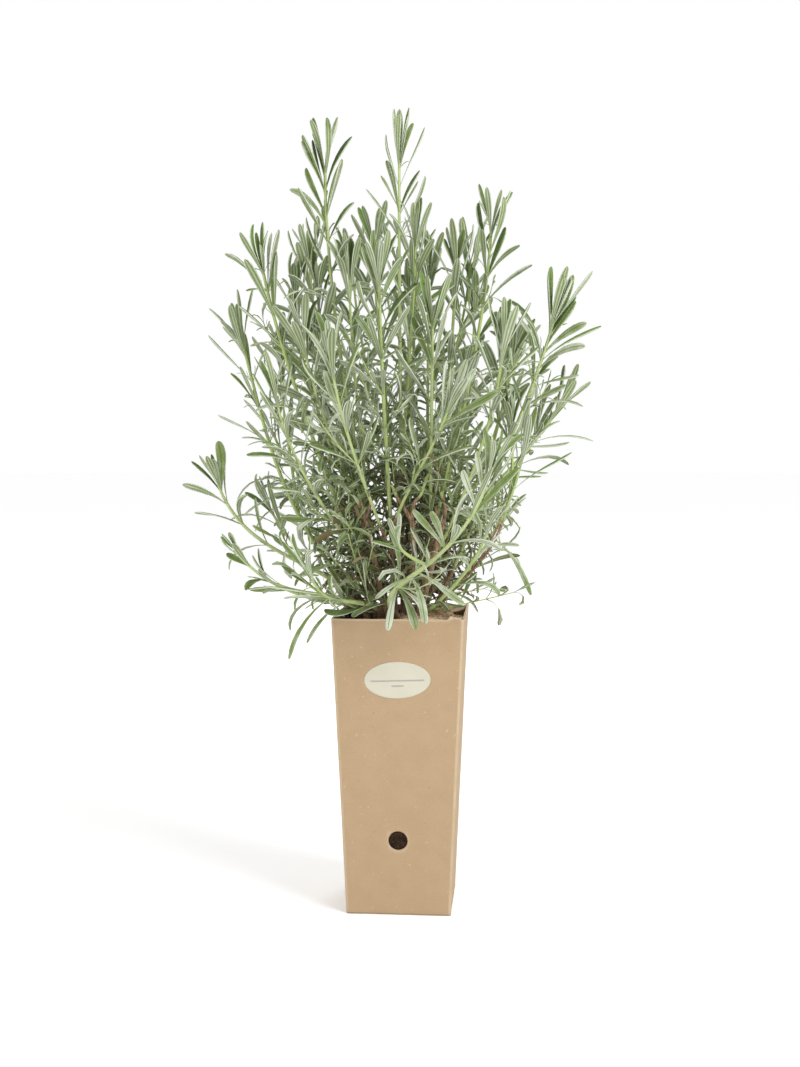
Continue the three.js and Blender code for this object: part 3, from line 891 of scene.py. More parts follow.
@dataclass
class Carton:
    """The folded kraft carton: four sloping panels, a raw rim, a folded floor and a drain hole."""

    height: float = 0.228
    base_half: float = 0.040
    top_half: float = 0.050
    board: float = 0.0016
    floor: float = 0.003
    fold_radius: float = 0.0025
    least_radius: float = 0.6 * MM
    # Where the vertices of the walls lie, and how far they crowd towards the folds.
    panel_steps: int = 36
    fold_steps: int = 10
    crowding: float = 0.6
    foot_levels: Point = (0.0, 0.5 * MM, 1.4 * MM)
    foot_share: float = 0.97
    wall_start: float = 4 * MM
    wall_steps: int = 34
    rim_zone: float = 0.016
    rim_start: float = 2 * MM
    rim_steps: int = 9
    rim_round: float = 0.15 * MM
    # The unevenness of the panels, and of the outer foot up to the height of its zone.
    bulge: float = 0.0007
    ripple: Lumps = Lumps(0.10 * MM, 0.018, 11)
    rough_foot: Lumps = Lumps(0.18 * MM, 0.006, 17)
    rough_zone: float = 2 * MM
    # The rim: its waves, its torn corner at the back right and its frayed lip at the front.
    rim_waves: tuple[Lumps, ...] = (Lumps(0.45 * MM, 0.031, 3), Lumps(0.18 * MM, 0.004, 5))
    corner_share: float = 0.8
    corner_tears: tuple[Tear, ...] = (
        Tear(-5.0 * MM, 2.2 * MM, 2.0 * MM, 1.6),
        Tear(-2.25 * MM, -2.6 * MM, 1.3 * MM),
        Tear(1.2 * MM, -0.6 * MM, 1.4 * MM),
    )
    lip: Tear = Tear(1.9 * MM, 43.3 * MM, 4.8 * MM, 5.0)
    lip_fraying: Lumps = Lumps(0.6, 0.0016, 7)
    lip_flare: float = 0.5
    # The drain hole, with the depth and the width of its profile, and the base flap's slit.
    hole_radius: float = 0.0075
    hole_height: float = 0.058
    hole_sides: int = 64
    hole_profile: tuple[Pair, ...] = (
        (-2 * MM, 1.10), (-0.1 * MM, 1.025), (0.30 * MM, 0.97), (5 * MM, 0.97))
    slit_middle: Point = (0.0, 14 * MM, 0.0)
    slit_half: Point = (33 * MM, 0.4 * MM, 0.9 * MM)
    # What the finish shows as cut, as a painted highlight along the folds, and as darker towards the
    # foot.
    cut_rim: Fade = Fade(-0.9 * MM, -0.1 * MM)
    cut_lip: Fade = Fade(0.35 * MM, 0.7 * MM)
    cut_lip_wear: float = 0.9
    cut_hole_wear: float = 0.45
    cut_hole_share: float = 1.05
    fold_edge: Fade = Fade(-2.6 * MM, -1.2 * MM)
    darker_foot: Fade = Fade(1.6 * MM, 0.3 * MM)
    sharp_angle: float = math.radians(50)

    def half_at(self, z: np.ndarray | float) -> np.ndarray | float:
        """Half the carton's outer width at a height."""
        return self.base_half + (self.top_half - self.base_half) * z / self.height

    def ring(self, half: float, radius: float) -> np.ndarray:
        """A square outline with rounded folds, counterclockwise from the right panel's back end.

        Args:
            half: Half its width.
            radius: The radius of its folds.

        Returns:
            One row of x and y for each vertex.
        """
        arc = np.arange(self.fold_steps) / self.fold_steps * math.pi / 2
        share = np.arange(self.panel_steps) / self.panel_steps
        even = 1 - 2 * share
        flat = (1 - self.crowding) * even + self.crowding * np.cos(math.pi * share)
        middle = half - radius
        fold = np.stack([middle + radius * np.cos(arc), middle + radius * np.sin(arc)], axis=1)
        panel = np.stack([middle * flat, np.full(self.panel_steps, half)], axis=1)
        side = np.concatenate([fold, panel])
        turns = [side, np.stack([-side[:, 1], side[:, 0]], axis=1), -side,
                 np.stack([side[:, 1], -side[:, 0]], axis=1)]
        return np.concatenate(turns)

    def rim_height(self, flat: np.ndarray) -> np.ndarray:
        """The rim's height, torn open at the back right fold and drawn up at the front right.

        Args:
            flat: Places on the rim, x and y.

        Returns:
            One height each.
        """
        places = on_ground(flat)
        x, y = flat.T
        edge = self.corner_share * self.top_half
        torn = ((x > edge) & (y > edge)) * sum(tear.at(y - x) for tear in self.corner_tears)
        drawn = (y < -edge) * self.lip.at(x) * (1 + self.lip_fraying.at(places))
        return self.height + layered(places, self.rim_waves) + torn + drawn

    def swell(self, along: np.ndarray, z: np.ndarray | float) -> np.ndarray:
        """How far a panel bulges out.

        Args:
            along: Places across the panel, 0 at its middle and 1 or -1 at its folds.
            z: Their heights.

        Returns:
            One distance each.
        """
        return self.bulge * (1 - along ** 2) * np.sin(math.pi * z / self.height)

    def wall(self, inside: bool) -> np.ndarray:
        """Rings of vertices up one face of the walls.

        Args:
            inside: Whether it is the inner face.

        Returns:
            Vertices by ring, then around it.
        """
        low, inset = (self.floor, self.board) if inside else (0.0, 0.0)
        settled = self.height - self.rim_zone
        levels = np.concatenate([
            low + np.array(self.foot_levels),
            np.linspace(low + self.wall_start, settled, self.wall_steps),
            np.linspace(settled + self.rim_start, self.height, self.rim_steps),
        ])
        radius = max(self.fold_radius - inset, self.least_radius)
        rings = []
        for level in levels:
            flat = self.ring(float(self.half_at(level)) - inset, radius)
            rim = self.rim_height(flat * (self.top_half / self.half_at(level)))
            lift = (rim - self.height) * soft_step(level, settled, self.height)
            along = np.clip(np.abs(flat).min(axis=1) / self.base_half, 0, 1)
            place = np.column_stack([flat, np.full(len(flat), level)])
            push = self.swell(along, level) + self.ripple.at(place)
            if not inside and level < self.rough_zone:
                push = push + self.rough_foot.at(place)
            push = push + self.lip_flare * np.clip(lift, 0, None)
            around = np.arctan2(flat[:, 1], flat[:, 0])
            facing = np.round(around / (math.pi / 2)) * math.pi / 2
            out = np.column_stack([np.cos(facing), np.sin(facing)])
            rings.append(np.column_stack([flat + push[:, None] * out, level + lift]))
        return np.array(rings)

    def shell(self) -> bpy.types.Object:
        """The carton's closed shell before its hole is cut."""
        outer = self.wall(False)
        inner = self.wall(True)[::-1]
        crest = (outer[-1] + inner[0]) / 2
        crest[:, 2] += self.rim_round
        foot = outer[0] * np.array([self.foot_share, self.foot_share, 1.0])
        rings = np.concatenate([foot[None], outer, crest[None], inner])
        draft = MeshDraft()
        draft.add(*capped(rings, np.zeros(3), np.array([0.0, 0.0, self.floor])))
        return draft.build("carton_board", [])

    def cutting_tool(self) -> bpy.types.Object:
        """The form that is taken out of the shell: the drain hole and the base flap's slit."""
        angle = np.arange(self.hole_sides) / self.hole_sides * FULL_TURN
        front = -float(self.half_at(self.hole_height))
        rings = np.array([np.column_stack([
            self.hole_radius * wide * np.cos(angle),
            np.full(self.hole_sides, front + depth),
            self.hole_height + self.hole_radius * wide * np.sin(angle),
        ]) for depth, wide in self.hole_profile])
        punch, faces = capped(rings, rings[0].mean(axis=0), rings[-1].mean(axis=0))
        corners = np.array([(x, y, z) for z in (-1, 1) for y in (-1, 1) for x in (-1, 1)])
        draft = MeshDraft()
        draft.add(punch, [block[:, ::-1] for block in faces])
        draft.add(np.array(self.slit_middle) + corners * np.array(self.slit_half), [BOX_FACES])
        return draft.build("cutting_tool", [])

    def cut(self, piece: bpy.types.Object) -> None:
        """Punches the drain hole and the slit beside the base flap.

        Args:
            piece: The carton's shell.
        """
        tool = self.cutting_tool()
        boolean = piece.modifiers.new("cuts", "BOOLEAN")
        boolean.operation = "DIFFERENCE"
        boolean.solver = "EXACT"
        boolean.object = tool
        settled = piece.evaluated_get(bpy.context.evaluated_depsgraph_get())
        mesh = bpy.data.meshes.new_from_object(settled)
        piece.modifiers.clear()
        piece.data = mesh
        bpy.data.objects.remove(tool)

    def mark(self, piece: bpy.types.Object) -> None:
        """Marks the cut edges, the folds and the foot for the finish, which paints a highlight along
        the folds and darkens the foot.

        Args:
            piece: The carton's shell, cut.
        """
        mesh = piece.data
        numbers = np.zeros(len(mesh.vertices) * 3, np.float32)
        mesh.vertices.foreach_get("co", numbers)
        points = numbers.reshape(-1, 3).astype(float)
        x, y, z = points.T
        from_hole = np.hypot(x, z - self.hole_height)
        punched = (from_hole < self.cut_hole_share * self.hole_radius) & (y < 0)
        cut = np.maximum.reduce([
            self.cut_rim.at(z - self.rim_height(points[:, :2])),
            self.cut_lip.at(z - self.height) * self.cut_lip_wear,
            punched * self.cut_hole_wear,
        ])
        set_mark(mesh, "cut", cut)
        corner = np.minimum(np.abs(x), np.abs(y)) - self.half_at(z)
        set_mark(mesh, "fold", self.fold_edge.at(corner))
        set_mark(mesh, "foot", self.darker_foot.at(z))

    def build(self) -> list[bpy.types.Object]:
        """Builds and dresses the carton and its torn ply."""
        finish = KraftFinish().build()
        board = self.shell()
        self.cut(board)
        self.mark(board)
        board.data.materials.clear()
        board.data.materials.append(finish)
        board.data.shade_smooth()
        board.data.set_sharp_from_angle(angle=self.sharp_angle)
        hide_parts("carton_pot")
        return [board, TornPly(self.height).build(finish)]


@dataclass
class TornPly:
    """The peeled, rolled ply inside the carton's back right fold, and the fibres around it.

    Its heights are measured from the carton's rim.
    """

    rim: float
    # The ply: its vertices along and around its roll, and the roll's root, way and sweep.
    rows: int = 16
    columns: int = 12
    thickness: float = 0.45 * MM
    root: Point = (0.0476, 0.0440, -2.4 * MM)
    way: Point = (-0.85, -0.48, -0.22)
    length: float = 0.016
    radii: Pair = (3.3 * MM, 2.4 * MM)
    sweep: Pair = (math.radians(10), math.radians(200))
    rumple: tuple[Lumps, ...] = tuple(Lumps(0.5 * MM, 0.0035, seed) for seed in (21, 22, 23))
    wear: float = 0.35
    # The fibres: the box that they start in, their steps and bends, and their marks.
    fibres: int = 16
    fibre_low: Point = (0.0465, 0.0440, -7 * MM)
    fibre_high: Point = (0.0485, 0.0475, -1 * MM)
    fibre_limit: float = 0.0482
    fibre_way: Point = (0.15 * MM, 0.15 * MM, 0.45 * MM)
    fibre_bend: float = 0.06 * MM
    fibre_radius: Pair = (0.12 * MM, 0.3 * MM)
    fibre_taper: float = 0.5
    fibre_steps: int = 5
    fibre_sides: int = 5
    fibre_damp: float = 0.8
    seed: int = 24

    def from_rim(self, place: Point) -> np.ndarray:
        """A place whose height is measured from the rim."""
        return np.array(place) + self.rim * UP

    def sheet(self, inset: float) -> np.ndarray:
        """One face of the ply, by row and column, with its roll made narrower by the inset."""
        share = np.linspace(0, 1, self.rows)[:, None, None]
        sweep = np.linspace(*self.sweep, self.columns)[None, :, None]
        along = unit(np.array(self.way))
        across = unit(np.cross(UP, along))
        radius = self.radii[0] + (self.radii[1] - self.radii[0]) * share - inset
        bend = np.cos(sweep) * across + np.sin(sweep) * UP
        return self.from_rim(self.root) + along * self.length * share + radius * bend

    def add_ply(self, draft: MeshDraft) -> None:
        """Adds the ply: both faces and the torn edge between them."""
        points = np.concatenate([self.sheet(0.0), self.sheet(self.thickness)]).reshape(-1, 3)
        points = points + np.column_stack([lumps.at(points) for lumps in self.rumple])
        count = self.rows * self.columns
        numbers = np.arange(count).reshape(self.rows, self.columns)
        border = np.concatenate([
            numbers[0], numbers[1:, -1], numbers[-1, -2::-1], numbers[-2:0:-1, 0]])
        after = np.roll(border, -1)
        edge = np.stack([after, after + count, border + count, border], axis=-1)
        face = grid_faces(self.rows, self.columns, False)
        draft.add(points, [face[:, ::-1], face + count, edge], cut=self.wear)

    def add_fibre(self, draft: MeshDraft, rng: np.random.Generator) -> None:
        """Adds one loose fibre."""
        start = rng.uniform(self.from_rim(self.fibre_low), self.from_rim(self.fibre_high))
        way = rng.normal(0, 1, 3) * np.array(self.fibre_way)
        bend = rng.normal(0, self.fibre_bend, 3)
        steps = np.arange(self.fibre_steps)
        line = start + np.outer(steps, way) + np.outer(steps ** 2, bend)
        line[:, :2] = np.minimum(line[:, :2], self.fibre_limit)
        taper = np.linspace(1, self.fibre_taper, self.fibre_steps)
        radii = taper * rng.uniform(*self.fibre_radius)
        section = round_section(self.fibre_sides)
        vertices, faces = tube(line, radii, section, unit(rng.normal(size=3)))
        draft.add(vertices, faces, cut=rng.uniform(0, 1), foot=rng.uniform(0, self.fibre_damp))

    def build(self, finish: bpy.types.Material) -> bpy.types.Object:
        """Builds the ply of the board's material."""
        draft = MeshDraft(("cut", "fold", "foot"))
        self.add_ply(draft)
        rng = np.random.default_rng(self.seed)
        for _ in range(self.fibres):
            self.add_fibre(draft, rng)
        return draft.build("torn_flap", [finish])


@dataclass
class OvalLabel:
    """The thin cream oval on the front panel, with two plain grey rules."""

    carton: Carton
    width: float = 0.050
    height: float = 0.028
    middle: float = 0.182
    thickness: float = 0.0003
    tilt: float = math.radians(1.9)
    rings: int = 30
    spokes: int = 120
    innermost: float = 0.02
    # Where the edge rounds off, and by what share of the thickness.
    bevel: Fade = Fade(0.985, 1.0)
    bevel_drop: float = 0.6
    glue: float = 0.12 * MM
    lumps: Lumps = Lumps(0.05 * MM, 0.012, 31)
    # Half the length and the height of each printed rule.
    rules: tuple[Pair, ...] = ((0.0200, -0.4 * MM), (0.0046, -4.4 * MM))
    rule_half: float = 0.55 * MM
    ink_edge: Fade = Fade(0.35 * MM, -0.15 * MM)

    def ink_at(self, x: np.ndarray, y: np.ndarray) -> np.ndarray:
        """Where the two rules are printed.

        Args:
            x: Distance right of the label's middle.
            y: Distance above it.

        Returns:
            1 on a rule and 0 beside it.
        """
        ink = np.zeros_like(x)
        for reach, level in self.rules:
            beside = np.maximum(np.abs(x) - reach, np.abs(y - level) - self.rule_half)
            ink = np.maximum(ink, self.ink_edge.at(beside))
        return ink

    def build(self) -> bpy.types.Object:
        """Builds and dresses the label."""
        carton = self.carton
        slope = math.atan((carton.top_half - carton.base_half) / carton.height)
        angle = np.arange(self.spokes) / self.spokes * FULL_TURN
        shares = np.linspace(1.0, self.innermost, self.rings)
        lift = self.thickness * (1 - self.bevel.at(shares) * self.bevel_drop)
        rings = np.array([np.column_stack([
            share * self.width / 2 * np.cos(angle),
            share * self.height / 2 * np.sin(angle),
            np.full(self.spokes, height),
        ]) for share, height in [(1.0, 0.0), *zip(shares, lift)]])
        local, faces = capped(rings, np.zeros(3), np.array([0.0, 0.0, self.thickness]))
        ink = self.ink_at(local[:, 0], local[:, 1]) * (local[:, 2] > 0)
        turn = np.array([[math.cos(self.tilt), -math.sin(self.tilt)],
                         [math.sin(self.tilt), math.cos(self.tilt)]])
        x, up = turn @ local[:, :2].T
        z = self.middle + up * math.cos(slope)
        lumps = self.lumps.at(on_ground(np.column_stack([x, z])))
        stand = carton.half_at(z) + carton.swell(x / carton.base_half, z) + lumps + self.glue
        draft = MeshDraft(("ink",))
        draft.add(np.column_stack([x, -stand - local[:, 2], z]), faces, ink=ink)
        label = draft.build("paper_oval", [LabelFinish().build()])
        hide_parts("oval_label")
        return label


@dataclass
class PottingSoil:
    """The root ball: crumbly peat with a mat of coir on its right side."""

    carton: Carton
    level: float = 0.2232
    gap: float = 0.0003
    cells: int = 120
    side_rows: int = 30
    # The unevenness of its top and of its sides.
    mound: Lumps = Lumps(1.4 * MM, 0.022, 45)
    lumps: tuple[Lumps, ...] = (
        Lumps(1.0 * MM, 0.007, 46), Lumps(0.6 * MM, 0.0028, 47), Lumps(0.35 * MM, 0.0014, 48))
    dents: tuple[Lumps, ...] = (Lumps(0.5 * MM, 0.003, 49), Lumps(0.3 * MM, 0.0012, 50))
    # The coir, which starts at an edge and levels the mounds, and lies higher in the front.
    coir_edge: Fade = Fade(-4 * MM, 5 * MM)
    coir_ragged: tuple[Lumps, ...] = (Lumps(7 * MM, 0.011, 43), Lumps(3 * MM, 0.004, 44))
    coir_height: float = 0.0033
    coir_depth: float = 6 * MM
    coir_levelling: float = 0.7
    front: Fade = Fade(0.030, -0.030)
    front_rise: float = 0.0014
    # The hollow under the torn ply, bare of coir so that its dark peat paints part of the shade there.
    pocket_middle: Pair = (0.0455, 0.016)
    pocket_half: Pair = (0.0095, 0.036)
    pocket_edge: Fade = Fade(1.2, 0.75)
    pocket_ragged: Lumps = Lumps(0.2, 0.006, 42)
    pocket_depth: float = 0.0060
    # Loose crumbs, of which the first ones lie behind the drain hole.
    crumbs: int = 700
    hole_crumbs: int = 90
    hole_share: float = 1.05
    crumb_sizes: Point = (0.8 * MM, 1.2 * MM, 2.0 * MM)
    crumb_shares: Point = (0.5, 0.35, 0.15)
    crumb_spread: Pair = (0.5, 1.0)
    crumb_squash: Pair = (0.55, 1.0)
    crumb_twist: float = 0.2
    crumb_lump: float = 0.18
    crumb_grain: float = 0.7
    crumb_seed: int = 51
    crumb_height: float = 0.25
    crumb_coir: Pair = (0.6, 1.0)
    crumb_gap: float = 2.5 * MM
    hole_gap: float = 0.6 * MM
    hole_sink: float = 0.6
    # Fibres of coir.
    fibres: int = 420
    fibre_steps: int = 9
    fibre_length: Pair = (5 * MM, 22 * MM)
    fibre_hump: Pair = (0.1 * MM, 1.6 * MM)
    fibre_radius: Pair = (0.10 * MM, 0.26 * MM)
    fibre_bend: float = 0.35
    fibre_wander: float = 0.18
    fibre_taper: float = 0.55
    fibre_sides: int = 4
    fibre_coir: Pair = (0.55, 1.0)
    fibre_gap: float = 1.0 * MM
    fibre_lift: float = 0.1 * MM
    least_coir: Pair = (0.1, 0.9)
    least_step: float = 0.1 * MM
    seed: int = 41

    def coir_at(self, flat: np.ndarray) -> np.ndarray:
        """How much coir lies at each place, x and y first, from 0 to 1."""
        ragged = layered(on_ground(flat), self.coir_ragged)
        # The hollow has no coir: its dark peat is the soil's own colour, uncovered to deepen the shade
        # under the ply.
        return self.coir_edge.at(flat[:, 0] + ragged) * (1 - self.pocket_at(flat))

    def pocket_at(self, flat: np.ndarray) -> np.ndarray:
        """How far each place, x and y first, lies in the hollow under the ply, from 0 to 1."""
        away = np.hypot(*((flat[:, :2] - self.pocket_middle) / self.pocket_half).T)
        return self.pocket_edge.at(away + self.pocket_ragged.at(on_ground(flat)))

    def top_at(self, flat: np.ndarray) -> np.ndarray:
        """The height of the soil's surface.

        Args:
            flat: Places on the soil, x and y first.

        Returns:
            One height each.
        """
        places = on_ground(flat)
        coir = self.coir_at(flat)
        mound = self.mound.at(places) * (1 - self.coir_levelling * coir)
        raised = coir * (self.coir_height + self.front_rise * self.front.at(flat[:, 1]))
        hollow = self.pocket_depth * self.pocket_at(flat)
        return self.level + mound + layered(places, self.lumps) + raised - hollow

    def room(self, gap: float) -> float:
        """Half the width inside the board at the soil's height, less a gap."""
        return float(self.carton.half_at(self.level)) - self.carton.board - gap

    def skirt(self, edge: np.ndarray, bottom: float) -> list[np.ndarray]:
        """Rows of vertices down the soil's crumbled sides.

        Args:
            edge: The border of its surface.
            bottom: The height of its lower side.

        Returns:
            The rows from the top down.
        """
        carton, half = self.carton, self.room(self.gap)
        deepest = sum(layer.height for layer in self.dents)
        rows = []
        for share in np.linspace(0, 1, self.side_rows)[1:]:
            z = edge[:, 2] + (bottom - edge[:, 2]) * share
            inner = (carton.half_at(z) - carton.board - self.gap) / half
            place = np.column_stack([edge[:, :2] * inner[:, None], z])
            shrink = 1 + (layered(place, self.dents) - deepest) / half
            rows.append(np.column_stack([place[:, :2] * shrink[:, None], z]))
        return rows

    def bed(self, finish: bpy.types.Material) -> bpy.types.Object:
        """The soil itself, with its crumbled sides.

        Args:
            finish: The soil's material.

        Returns:
            The piece.
        """
        count, half = self.cells, self.room(self.gap)
        line = np.linspace(-half, half, count)
        x, y = np.meshgrid(line, line, indexing="ij")
        flat = np.column_stack([x.ravel(), y.ravel()])
        top = np.column_stack([flat, self.top_at(flat)])
        numbers = np.arange(count * count).reshape(count, count)
        border = np.concatenate([
            numbers[:-1, 0], numbers[-1, :-1], numbers[:0:-1, -1], numbers[0, :0:-1]])
        bottom = self.carton.floor + self.gap
        rows = self.skirt(top[border], bottom)
        points = np.concatenate([top, *rows, [[0, 0, bottom]]])
        around, first = len(border), count * count
        here = np.arange(around)
        after = np.roll(here, -1)
        collar = np.stack([border, first + here, first + after, border[after]], axis=-1)
        draft = MeshDraft(("coir",))
        draft.add(points, [
            grid_faces(count, count, False)[:, ::-1],
            collar,
            grid_faces(len(rows), around, True)[:, ::-1] + first,
            fan_faces(first + (len(rows) - 1) * around, around, len(points) - 1, False),
        ], coir=self.coir_at(points) * (points[:, 2] > self.level - self.coir_depth))
        bed = draft.build("soil_bed", [finish])
        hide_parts("potting_soil")
        return bed

    def behind_hole(self, size: float, rng: np.random.Generator) -> np.ndarray:
        """A place for a crumb behind the drain hole.

        Args:
            size: The crumb's size.
            rng: The draws.

        Returns:
            The crumb's middle.
        """
        carton = self.carton
        spread = rng.uniform(0, 1) ** 0.5 * self.hole_share * carton.hole_radius
        angle = rng.uniform(0, FULL_TURN)
        z = carton.hole_height + spread * math.sin(angle)
        wall = float(carton.half_at(z)) - carton.board
        depth = self.hole_gap + self.hole_sink * size
        return np.array([spread * math.cos(angle), depth - wall, z])

    def loose_crumbs(self, finish: bpy.types.Material, rng: np.random.Generator) -> bpy.types.Object:
        """Crumbs of peat on the surface and behind the drain hole.

        Args:
            finish: The soil's material.
            rng: The draws.

        Returns:
            The piece.
        """
        form = bpy.data.meshes.new("crumb_form")
        ball = bmesh.new()
        bmesh.ops.create_icosphere(ball, subdivisions=1, radius=1.0)
        ball.to_mesh(form)
        ball.free()
        shape = np.array([vertex.co for vertex in form.vertices])
        faces = np.array([list(face.vertices) for face in form.polygons])
        bpy.data.meshes.remove(form)
        half = self.room(self.crumb_gap)
        draft = MeshDraft(("coir",))
        for number in range(self.crumbs):
            size = rng.uniform(*self.crumb_spread) * rng.choice(self.crumb_sizes, p=self.crumb_shares)
            squash = rng.uniform(*self.crumb_squash, 3)
            axis = unit(rng.normal(size=3))
            lump = shape * squash * size
            lump = np.array([
                turned(point, axis, rng.uniform(0, self.crumb_twist) + number) for point in lump])
            rough = Lumps(self.crumb_lump, self.crumb_grain * size, self.crumb_seed)
            lump *= 1 + rough.at(lump + number)[:, None]
            if number < self.hole_crumbs:
                middle, coir = self.behind_hole(size, rng), 0.0
            else:
                flat = rng.uniform(-half, half, (1, 2))
                z = float(self.top_at(flat)[0]) + self.crumb_height * size
                middle = np.array([*flat[0], z])
                coir = float(self.coir_at(flat)[0]) * rng.uniform(*self.crumb_coir)
            draft.add(lump + middle, [faces], coir=coir)
        return draft.build("soil_crumbs", [finish])

    def fibre_line(self, start: np.ndarray, limit: float, rng: np.random.Generator) -> np.ndarray:
        """A fibre's centre line, curled over the surface.

        Args:
            start: Where it starts, x and y.
            limit: How far from the middle it may reach.
            rng: The draws.

        Returns:
            Its points.
        """
        heading = rng.uniform(0, FULL_TURN)
        bend = rng.normal(0, self.fibre_bend)
        step = rng.uniform(*self.fibre_length) / self.fibre_steps
        line = [start]
        for _ in range(self.fibre_steps - 1):
            heading += bend + rng.normal(0, self.fibre_wander)
            line.append(line[-1] + step * np.array([math.cos(heading), math.sin(heading)]))
        line = np.clip(np.array(line), -limit, limit)
        rise = rng.uniform(*self.fibre_hump) * np.sin(np.linspace(0, math.pi, self.fibre_steps))
        return np.column_stack([line, self.top_at(line) + rise + self.fibre_lift])

    def coir_mat(self, finish: bpy.types.Material, rng: np.random.Generator) -> bpy.types.Object:
        """Fibres of coir, curled over each other on the right side.

        Args:
            finish: The soil's material.
            rng: The draws.

        Returns:
            The piece.
        """
        limit = self.room(self.fibre_gap)
        taper = np.linspace(1, self.fibre_taper, self.fibre_steps)
        draft = MeshDraft(("coir",))
        placed = 0
        while placed < self.fibres:
            start = rng.uniform(-limit, limit, 2)
            if self.coir_at(start[None])[0] < rng.uniform(*self.least_coir):
                continue
            placed += 1
            points = self.fibre_line(start, limit, rng)
            if np.linalg.norm(np.diff(points, axis=0), axis=1).min() < self.least_step:
                continue
            radii = taper * rng.uniform(*self.fibre_radius)
            vertices, faces = tube(points, radii, round_section(self.fibre_sides), UP)
            draft.add(vertices, faces, coir=rng.uniform(*self.fibre_coir))
        return draft.build("coir_fibres", [finish])

    def build(self) -> list[bpy.types.Object]:
        """Builds and dresses the soil, its crumbs and its coir."""
        finish = SoilFinish().build()
        rng = np.random.default_rng(self.seed)
        return [self.bed(finish), self.loose_crumbs(finish, rng), self.coir_mat(finish, rng)]


# The plant: the same sprays, shoots and leaves as in the frame, in finer form.


@dataclass(frozen=True)
class PlacedLeaf:
    """A listed leaf, its angles in degrees.

    Attributes:
        share: Where it sits on its shoot, as a share of the shoot's length.
        heading: The way it points, from +X.
        tilt: How far it tilts from +Z at its root.
        curl: How much it bends further.
        length: Its length.
        width: Its width.
        roll: How far it is turned about its own midrib.
    """

    share: float
    heading: float
    tilt: float
    curl: float
    length: float
    width: float
    roll: float = 0.0


@dataclass(frozen=True)
class Shoot:
    """One shoot, by its apex and by how soon it swings out, or by its two control points.

    Attributes:
        apex: Where it ends.
        early: How far it has swung out at its first control point, as a share of its way.
        late: How far it has at its second one.
        fork: Where it leaves the spray's leader, or None if it starts at the foot.
        controls: Both control points, in place of early and late.
        placed: The leaves that are listed one by one.
        breadth: Scales the width of its leaves.
        lush: Scales how much it carries beside its leaf pairs.
        leafage: Scales the length of its leaves.
    """

    apex: Point
    early: float = 0.4
    late: float = 0.9
    fork: float | None = None
    controls: tuple[Point, Point] | None = None
    placed: tuple[PlacedLeaf, ...] = ()
    breadth: float = 1.0
    lush: float = 1.0
    leafage: float = 1.0


@dataclass(frozen=True)
class OldWood:
    """Pruned old wood: a trunk that rises from the soil, and arms that end in young shoots."""

    trunk: tuple[Point, ...]
    arms: tuple[tuple[Point, ...], ...]


@dataclass(frozen=True)
class SprayPlan:
    """One spray: the frame's node, where its woody foot stands and its shoots."""

    node: str
    foot: Pair
    shoots: tuple[Shoot, ...]
    tangle: int = 9
    woody_reach: float = 0.040
    girth: float = 0.85
    old_wood: tuple[OldWood, ...] = ()


